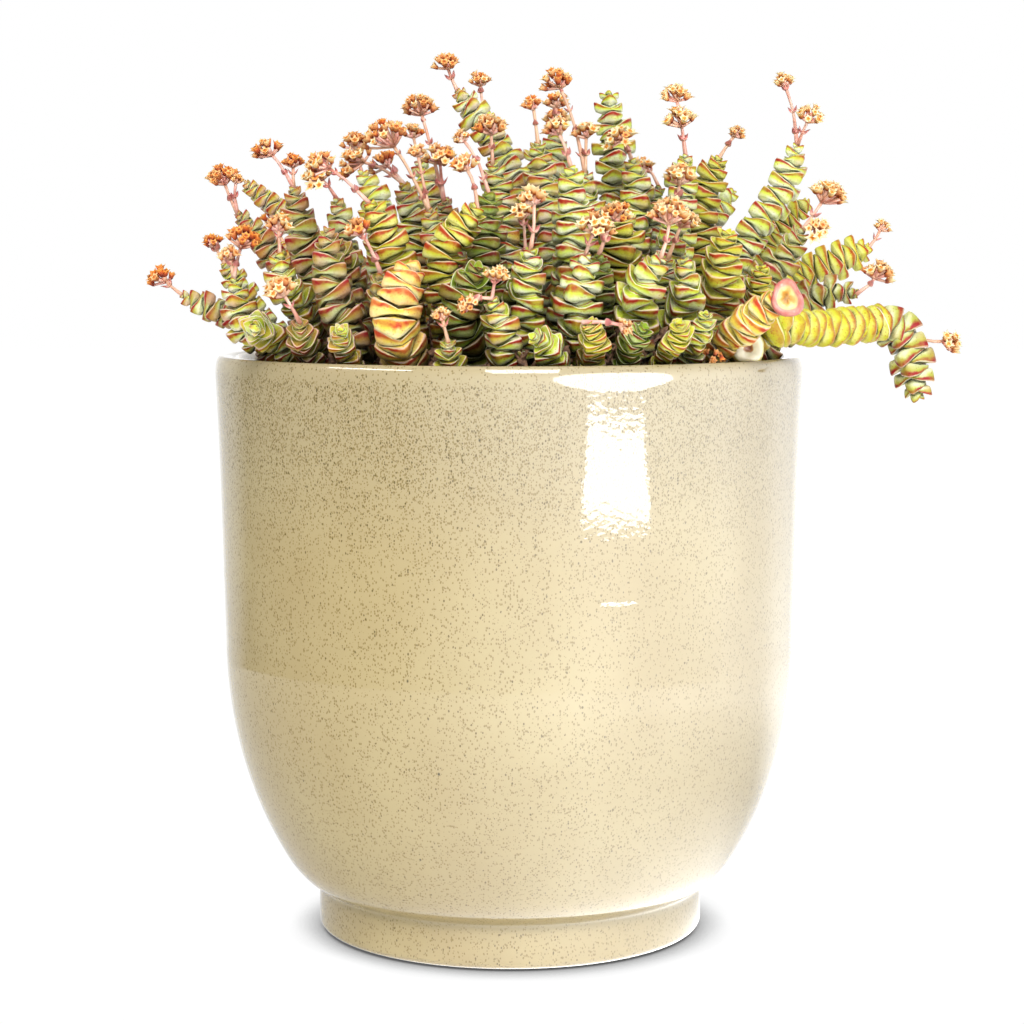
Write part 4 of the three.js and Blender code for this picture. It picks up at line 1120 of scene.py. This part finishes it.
def round_about(tree, x, y, table):
    """The brightness of what stands in a direction from the pot, from a table by angle."""
    front = add(tree, "Math MULTIPLY", (y, -1.0))
    turn = add(tree, "Math ARCTAN2", (x, front))
    share = add(tree, "MapRange", (turn, -math.pi, math.pi))
    stops = [((degrees + 180) / 360, grey) for degrees, grey in table]
    return add(tree, "ValToRGB", (share,), stops=stops)


def floor_material():
    """White paper sweep under the pot: matt to light, and to the camera a glow so bright that it burns out,
    but for a painted contact shadow.

    In reflections it glows with painted light and shade round the pot, and past its edge with the studio's
    walls behind it.
    """
    tree, place = new_material("white_paper")
    # Painted contact shadow: the glow that the camera sees darkens where the pot closes in the paper
    near = add(tree, "AmbientOcclusion", {"Distance": 0.015}, samples=8).outputs["AO"]
    bright = add(tree, "MapRange SMOOTHSTEP", (near, 0.15, 0.80, 0.10, 1.02))
    seen = add(tree, "Emission", ("#ffffff", bright))
    x, y, _ = add(tree, "SeparateXYZ", (place,)).outputs
    away = add(tree, "VectorMath LENGTH", (place,))
    walls, near, close = (round_about(tree, x, y, table)
                          for table in (STUDIO_WALLS, NEAR_SWEEP, CLOSE_PAINTED_SHADE))
    # The pot's shade on the paper is painted into the reflected glow, fading out away from the pot
    out = add(tree, "MapRange", (away, *PAINTED_SHADE_FADE))
    near = add(tree, "Mix RGBA", (out, close, near))
    out = add(tree, "MapRange SMOOTHSTEP", (away, *PAPER_EDGE))
    walls = add(tree, "Mix RGBA", (out, near, walls))
    mirrored = add(tree, "Emission", (walls, MIRRORED))
    matt = add(tree, "BsdfDiffuse", ("#fcfcfc",))
    end_by_ray(tree, "OutputMaterial", matt, mirrored, seen)


# The add-on


# What the lengths of a millimetre or less have in common
FINE = {"unit": "LENGTH", "precision": 5}


class PlantPotSettings(bpy.types.PropertyGroup):
    """Sizes and colours of the pot and the soil."""

    sides: bpy.props.IntProperty(name="Sides", description="Faces round the pot", default=192, min=32)
    ring_depth: bpy.props.FloatProperty(
        name="Throwing ring", description="Depth of the deepest ring from the wheel", default=0.00006,
        min=0.0, **FINE)
    ring_width: bpy.props.FloatProperty(
        name="Ring width", description="Half the height of a throwing ring", default=0.0017, min=0.0005,
        **FINE)
    gloss: bpy.props.FloatProperty(
        name="Glaze roughness", description="Roughness of the glaze", default=0.025, min=0.0, max=1.0)
    glaze_light: bpy.props.StringProperty(
        name="Light glaze", description="Light colour of the glaze, as sRGB hex", default="#b9a97e")
    glaze_dark: bpy.props.StringProperty(
        name="Dark glaze", description="Dark colour of the glaze, as sRGB hex", default="#af9d72")
    grains: bpy.props.IntProperty(
        name="Soil grains", description="Loose grains on the soil", default=1500, min=0)


class PlantLeafSettings(bpy.types.PropertyGroup):
    """Sizes of the leaves and the flowers."""

    around: bpy.props.IntProperty(name="Points", description="Points round a leaf pair", default=20, min=12)
    thick_side: bpy.props.FloatProperty(
        name="Side thickness", description="Thickness at the sides, in pitches", default=0.24, min=0.1)
    lean: bpy.props.FloatProperty(
        name="Lean", description="How much single pairs lean", default=0.08, min=0.0, subtype="ANGLE")
    uneven: bpy.props.FloatProperty(
        name="Unevenness", description="How much the pairs differ in width", default=0.12, min=0.0, max=0.5)
    stalk: bpy.props.FloatProperty(
        name="Stalk radius", description="Radius of a flower stalk", default=0.00036, **FINE)
    floret: bpy.props.FloatProperty(
        name="Floret size", description="Height of one dried floret", default=0.0029, **FINE)
    withered: bpy.props.IntProperty(
        name="Dry stems", description="Withered stems low between the plants", default=150, min=0)
    crowded: bpy.props.FloatProperty(
        name="Florets", description="Florets on a head, per square of its reach in florets", default=4.2,
        min=0.5)


class PlantStageSettings(bpy.types.PropertyGroup):
    """The photograph's camera and the light."""

    distance: bpy.props.FloatProperty(
        name="Camera distance", description="Distance in front of the pot's axis", default=0.6521,
        unit="LENGTH")
    height: bpy.props.FloatProperty(
        name="Camera height", description="Height over the floor", default=0.1732, unit="LENGTH")
    pitch: bpy.props.FloatProperty(
        name="Camera pitch", description="How far the camera looks down", default=0.10107,
        subtype="ANGLE")
    lens: bpy.props.FloatProperty(
        name="Lens", description="Focal length on a 36 mm sensor, in millimetres", default=89.17)
    shift: bpy.props.FloatProperty(
        name="Shift", description="Sideways shift of the frame, in frame widths", default=0.00195)
    world: bpy.props.FloatProperty(
        name="Surrounding light", description="Strength of the white surroundings", default=0.58, min=0.0)
    key: bpy.props.FloatProperty(
        name="Main light", description="Power of the softbox, in watts", default=10.4, min=0.0)
    shine: bpy.props.FloatProperty(
        name="Reflected light", description="Power of the softbox that shows in the glaze, in watts",
        default=13.6, min=0.0)
    fill: bpy.props.FloatProperty(
        name="Low light", description="Power of the low panel that shows in the glaze, in watts",
        default=1.2, min=0.0)


class PLANT_OT_pot(bpy.types.Operator):
    """Turns the glazed pot"""

    bl_idname = "potted_plant.pot"
    bl_label = "Glazed pot"

    def execute(self, context):
        looks = context.scene.plant_pot
        glaze_material(looks)
        skin = Skin(["glazed_stoneware"])
        skin.loft(turned_rings(pot_profile(looks), looks.sides), "glazed_stoneware")
        skin.piece("glazed_pot", slot_of("pot"), "pot")
        return {"FINISHED"}


def wall_radius(height):
    """The pot's outer radius at a height."""
    if height < BELLY["height"]:
        down = (BELLY["height"] - height) / BELLY["drop"]
        return BELLY["radius"] * math.sqrt(1 - down * down)
    up = (height - BELLY["height"]) / (POT["height"] - LIP["round"] - BELLY["height"])
    return BELLY["radius"] + (POT["rim"] - BELLY["radius"]) * up


def flare(height):
    """How far the wall bends outwards near the rim."""
    share = min(max((height - FLARE["start"]) / (POT["height"] - FLARE["start"]), 0), 1)
    return FLARE["most"] * share * share


def arc(middle, radii, start, end, count):
    """Rows of radius and height on a part of an oval, with angles in degrees."""
    angles = np.radians(np.linspace(start, end, count))
    return [(middle[0] + radii[0] * math.cos(angle), middle[1] + radii[1] * math.sin(angle))
            for angle in angles]


# Heights and shares of the depth of the rings that the potter's fingers left
THROWING_RINGS = ((92.7, 1.0), (82.0, 0.2), (72.2, 0.8), (66.0, 0.3), (58.0, 0.3), (46.0, 0.2),
                  (36.0, 0.2))


def pot_profile(looks):
    """Rows of radius and height from the middle of the base, over the rim, to the middle inside."""
    foot = POT["foot"]
    rows = [(2.0, 0.0), (20.0, 0.0), (40.0, 0.0)]
    rows += arc((foot - 1.8, 1.8), (1.8, 1.8), -90, 0, 7)
    rows += [(foot, height) for height in (4.0, 6.5, 9.0)]
    rows += [(foot + 0.05, 10.4), (foot + 0.3, 11.1), (foot + 0.9, 11.6), (foot + 2.1, 12.3),
             (foot + 3.6, 13.4), (foot + 4.9, 14.6), (foot + 6.6, 16.5)]
    deep, wide = looks.ring_depth / MM, looks.ring_width / MM
    # The wall lies back a little more than its rings stand out, so that they stay inside the solid
    back = deep * 1.2
    for height in np.arange(18.5, POT["height"] - 7.0, 1.2):
        ring = sum(share * math.exp(-((height - level) / wide) ** 2) for level, share in THROWING_RINGS)
        rows.append((wall_radius(height) + flare(height) - back + deep * ring, height))
    for angle in np.radians(np.linspace(0, 88, 24)):
        # The lip rounds off slowly from the wall and fast at its top
        height = POT["height"] - LIP["depth"] * (1 - math.sin(angle) ** LIP["bend"])
        inwards = LIP["outer"] * (1 - math.cos(angle) ** LIP["bend"])
        rows.append((wall_radius(height) + flare(height) - back - inwards, height))
    half = POT["wall"] - LIP["outer"]
    middle = (POT["rim"] - POT["wall"] + half, POT["height"] - LIP["round"])
    rows += arc(middle, (half, LIP["round"]), 90, 180, 12)
    for height in np.arange(POT["height"] - 5, POT["floor"] + 6, -6.0):
        rows.append((wall_radius(height) - POT["wall"], height))
    inner = wall_radius(POT["floor"]) - POT["wall"]
    rows += [(inner, POT["floor"] + 3), (inner - 3, POT["floor"]), (inner * 0.5, POT["floor"]),
             (2.0, POT["floor"])]
    return rows


class PLANT_OT_soil(bpy.types.Operator):
    """Fills the pot with gritty soil"""

    bl_idname = "potted_plant.soil"
    bl_label = "Potting soil"

    def execute(self, context):
        looks = context.scene.plant_pot
        soil_material()
        rng = np.random.default_rng(7)
        skin = Skin(["potting_soil"])
        inner = [(wall_radius(height) - POT["wall"] - SOIL["fit"], height)
                 for height in (POT["floor"] + SOIL["fit"], 30, 45, 60, 75, 100, 120, 130)]
        edge = wall_radius(SOIL["level"]) - POT["wall"] - SOIL["fit"]
        shares = [1.0, *np.linspace(0.975, 0.02, 40)]
        top = [(edge * share, SOIL["level"] + SOIL["dome"] * (1 - share * share)) for share in shares]
        rings = turned_rings([(3.0, inner[0][1]), *inner, *top], 144)
        x, y, z = rings[..., 0], rings[..., 1], rings[..., 2]
        lumps = SOIL["lumps"] * np.sin(x * 0.21 + 1) * np.cos(y * 0.17)
        rough = 0.5 * np.sin(x * 1.3 + np.sin(y * 0.9) * 2) * np.cos(y * 1.1 + np.cos(x * 0.7))
        rings[..., 2] += np.where(z > SOIL["level"] - 1, lumps + rough + rng.normal(0, 0.16, z.shape), 0)
        skin.loft(rings, "potting_soil", tint=0.0)
        self.scatter(skin, looks.grains, edge, rng)
        skin.piece("gritty_soil", slot_of("soil"), "soil")
        return {"FINISHED"}

    @staticmethod
    def scatter(skin, count, edge, rng):
        """Loose grains that lie half sunk in the soil."""
        for _ in range(count):
            size = rng.uniform(0.5, 1.5) ** 1.4
            out = (edge - size - 1) * math.sqrt(rng.uniform())
            angle = rng.uniform(0, 2 * math.pi)
            x, y = out * math.cos(angle), out * math.sin(angle)
            level = (SOIL["level"] + SOIL["dome"] * (1 - (out / edge) ** 2)
                     + SOIL["lumps"] * math.sin(x * 0.21 + 1) * math.cos(y * 0.17))
            rings = turned_rings(((0.75, -0.6), (1.0, 0.0), (0.7, 0.65)), 6) * size
            rings *= rng.uniform(0.75, 1.15, (3, 6, 1))
            stretch = np.array([rng.uniform(0.8, 1.5), rng.uniform(0.7, 1.1), rng.uniform(0.5, 0.9)])
            spin = rng.uniform(0, math.pi)
            turn = np.array([[math.cos(spin), -math.sin(spin), 0], [math.sin(spin), math.cos(spin), 0],
                             [0, 0, 1]])
            rings = (rings * stretch) @ turn.T + np.array([x, y, level + 0.2 * size])
            skin.loft(rings, "potting_soil", tint=0.002 + 0.99 * rng.uniform())


class PLANT_OT_plants(bpy.types.Operator):
    """Grows the stems with their leaves and flowers"""

    bl_idname = "potted_plant.plants"
    bl_label = "Plants"

    def execute(self, context):
        looks = context.scene.plant_leaf
        for name, colours in LEAF_COLOURS.items():
            leaf_material(name, *colours)
        cut_leaf_material()
        stalk_material()
        floret_material()
        wood_material()
        chains = make_chains()
        Crowd(chains).settle()
        stems = [chain for chain in chains if chain.entry]
        for family, entry in enumerate(PLANTS):
            self.grow(family, entry, stems, looks)
        litter = Skin(["woody_stem"])
        dry_stems(litter, looks.withered, np.random.default_rng(31))
        litter.piece("dry_stems", "flower_spray")
        return {"FINISHED"}

    @staticmethod
    def grow(family, entry, stems, looks):
        """Makes the pieces of one plant."""
        rng = np.random.default_rng(100 + family)
        number = f"{family + 1:02d}"
        body = Skin(FINISHES)
        small = Skin(SPRAY_FINISHES)
        crown(body, entry["x"], entry["y"], rng)
        count = 0
        for index, chain in enumerate(stems):
            if chain.family != family:
                continue
            count += 1
            line = Line(chain, rng.normal(math.pi / 4, 0.3))
            low = leaf_stack(body, line, chain.entry, looks, rng)
            tube(body, line, 1.0, low + 1.0, (2.0, WOOD["radius"], 1.5), "woody_stem", 10, 2.0,
                 tint=rng.uniform())
            widest = max([head[3] for head in chain.entry["heads"]], default=0)
            if widest >= OWN_SPRAY and not trails(chain.entry):
                spray = Skin(SPRAY_FINISHES)
                flower_spray(spray, chain.heads, OWN_START, index, looks, rng)
                node = f"spray_{number}_{count}"
                spray.piece(f"flowers_{number}_{count}", slot_of(node), node)
            elif widest:
                flower_spray(small, chain.heads, SMALL_START, index, looks, rng)
        node = f"plant_{number}"
        trailing = any(trails(one) for one in entry["stems"])
        if trailing:
            rim_litter(body, rng)
        leaves = body.piece(f"leaves_{number}", slot_of(node), node)
        # In the photo the stem over the rim doesn't show in the gloss of the lip
        leaves.visible_glossy = not trailing
        if small.count:
            small.piece(f"small_flowers_{number}", "flower_spray")


# The lamps: name, place, size, the setting that gives the power and the share of it, the shape of one
# that only shows in the glaze, and the slope in degrees of one that lies nearly flat
LAMPS = (
    ("main_softbox", (0.08, -0.84, 0.80), (0.45, 0.45), "key", 1.0, None, None),
    ("left_softbox", (-0.8, -0.3, 0.8), (0.5, 0.5), "key", 0.08, None, None),
    ("front_softbox", (0.603, -0.754, 0.275), (0.836, 0.53), "shine", 1.0, "ELLIPSE", None),
    ("low_panel", (0.319, -0.407, 0.0555), (0.212, 0.136), "fill", 1.0, "RECTANGLE", 2.6),
    ("left_strip", (-0.72, -0.40, 0.75), (0.60, 0.09), "shine", 0.3, "RECTANGLE", None),
    ("low_strip", (0.195, -0.250, 0.0465), (0.075, 0.022), "fill", 0.09, "RECTANGLE", 2.6),
)
FLOOR_HALF = 4.0
FLOOR_DROP = 0.0004


class PLANT_OT_stage(bpy.types.Operator):
    """Sets the floor, the light and the photograph's camera"""

    bl_idname = "potted_plant.stage"
    bl_label = "Stage"

    def execute(self, context):
        looks = context.scene.plant_stage
        floor_material()
        mesh = bpy.data.meshes.new("floor")
        corners = [(FLOOR_HALF * x, FLOOR_HALF * y, 0) for x, y in ((-1, -1), (1, -1), (1, 1), (-1, 1))]
        mesh.from_pydata(corners, [], [(0, 1, 2, 3)])
        mesh.materials.append(MADE["white_paper"])
        floor = bpy.data.objects.new("floor", mesh)
        floor.location.z = -FLOOR_DROP
        context.scene.collection.objects.link(floor)
        self.set_world(context.scene, looks.world)
        for lamp in LAMPS:
            self.softbox(looks, *lamp)
        self.set_camera(context.scene, looks)
        context.scene.view_settings.view_transform = "Standard"
        return {"FINISHED"}

    @staticmethod
    def set_world(scene, strength):
        """A white room for the light, and the studio's walls in reflections.

        What the camera sees past the object is plain white.
        """
        world = bpy.data.worlds.new("white_room")
        world.use_nodes = True
        tree = world.node_tree
        tree.nodes.clear()
        x, y, up = add(tree, "SeparateXYZ", (add(tree, "TexCoord").outputs["Generated"],)).outputs
        walls = round_about(tree, x, y, STUDIO_WALLS)
        # The walls are darker towards the ceiling
        bright = add(tree, "MapRange", (up, 0.1, 0.6, MIRRORED, MIRRORED * 0.3))
        mirrored = add(tree, "Background", (walls, bright))
        soft = add(tree, "Background", ("#ffffff", strength))
        white = add(tree, "Background", ("#ffffff", 1.0))
        end_by_ray(tree, "OutputWorld", soft, mirrored, white)
        scene.world = world

    @staticmethod
    def softbox(looks, name, place, size, setting, share, shape, slope):
        """An area light that faces the middle of the object, or lies nearly flat where it has a slope."""
        light = bpy.data.lights.new(name, "AREA")
        light.shape = shape or "RECTANGLE"
        light.size, light.size_y = size
        light.energy = getattr(looks, setting) * share
        lamp = bpy.data.objects.new(name, light)
        lamp.location = place
        target = np.array([0, 0, 0.1]) - np.array(place)
        tilt = math.atan2(np.hypot(target[0], target[1]), -target[2])
        if slope is not None:
            tilt = math.pi - math.radians(slope)
        lamp.rotation_euler = (tilt, 0, math.atan2(-target[0], target[1]))
        lamp.visible_camera = False
        lamp.visible_diffuse = shape is None
        bpy.context.scene.collection.objects.link(lamp)

    @staticmethod
    def set_camera(scene, looks):
        """The camera that took the photograph."""
        camera = bpy.data.cameras.new("photo_camera")
        camera.lens = looks.lens
        camera.sensor_width = 36.0
        camera.shift_x = looks.shift
        camera.clip_start = 0.01
        holder = bpy.data.objects.new("photo_camera", camera)
        holder.location = (0, -looks.distance, looks.height)
        holder.rotation_euler = (math.pi / 2 - looks.pitch, 0, 0)
        scene.collection.objects.link(holder)
        scene.camera = holder


OPERATORS = (PLANT_OT_pot, PLANT_OT_soil, PLANT_OT_plants, PLANT_OT_stage)


class PLANT_PT_panel(bpy.types.Panel):
    """Lists the pieces of the potted plant"""

    bl_idname = "PLANT_PT_panel"
    bl_label = "Potted plant"
    bl_space_type = "VIEW_3D"
    bl_region_type = "UI"
    bl_category = "Potted plant"

    def draw(self, context):
        for operator in OPERATORS:
            self.layout.operator(operator.bl_idname)
        for group in (context.scene.plant_pot, context.scene.plant_leaf, context.scene.plant_stage):
            box = self.layout.box()
            for name in group.__annotations__:
                box.prop(group, name)


CLASSES = (PlantPotSettings, PlantLeafSettings, PlantStageSettings, *OPERATORS, PLANT_PT_panel)


def register():
    """Makes the settings, the operators and the panel known."""
    for entry in CLASSES:
        bpy.utils.register_class(entry)
    bpy.types.Scene.plant_pot = bpy.props.PointerProperty(type=PlantPotSettings)
    bpy.types.Scene.plant_leaf = bpy.props.PointerProperty(type=PlantLeafSettings)
    bpy.types.Scene.plant_stage = bpy.props.PointerProperty(type=PlantStageSettings)


def unregister():
    """Takes them away again."""
    del bpy.types.Scene.plant_pot
    del bpy.types.Scene.plant_leaf
    del bpy.types.Scene.plant_stage
    for entry in reversed(CLASSES):
        bpy.utils.unregister_class(entry)


def main():
    """Builds the pieces and the stage."""
    register()
    bpy.ops.potted_plant.pot()
    bpy.ops.potted_plant.soil()
    bpy.ops.potted_plant.plants()
    bpy.ops.potted_plant.stage()
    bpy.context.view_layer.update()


if __name__ == "__main__":
    main()
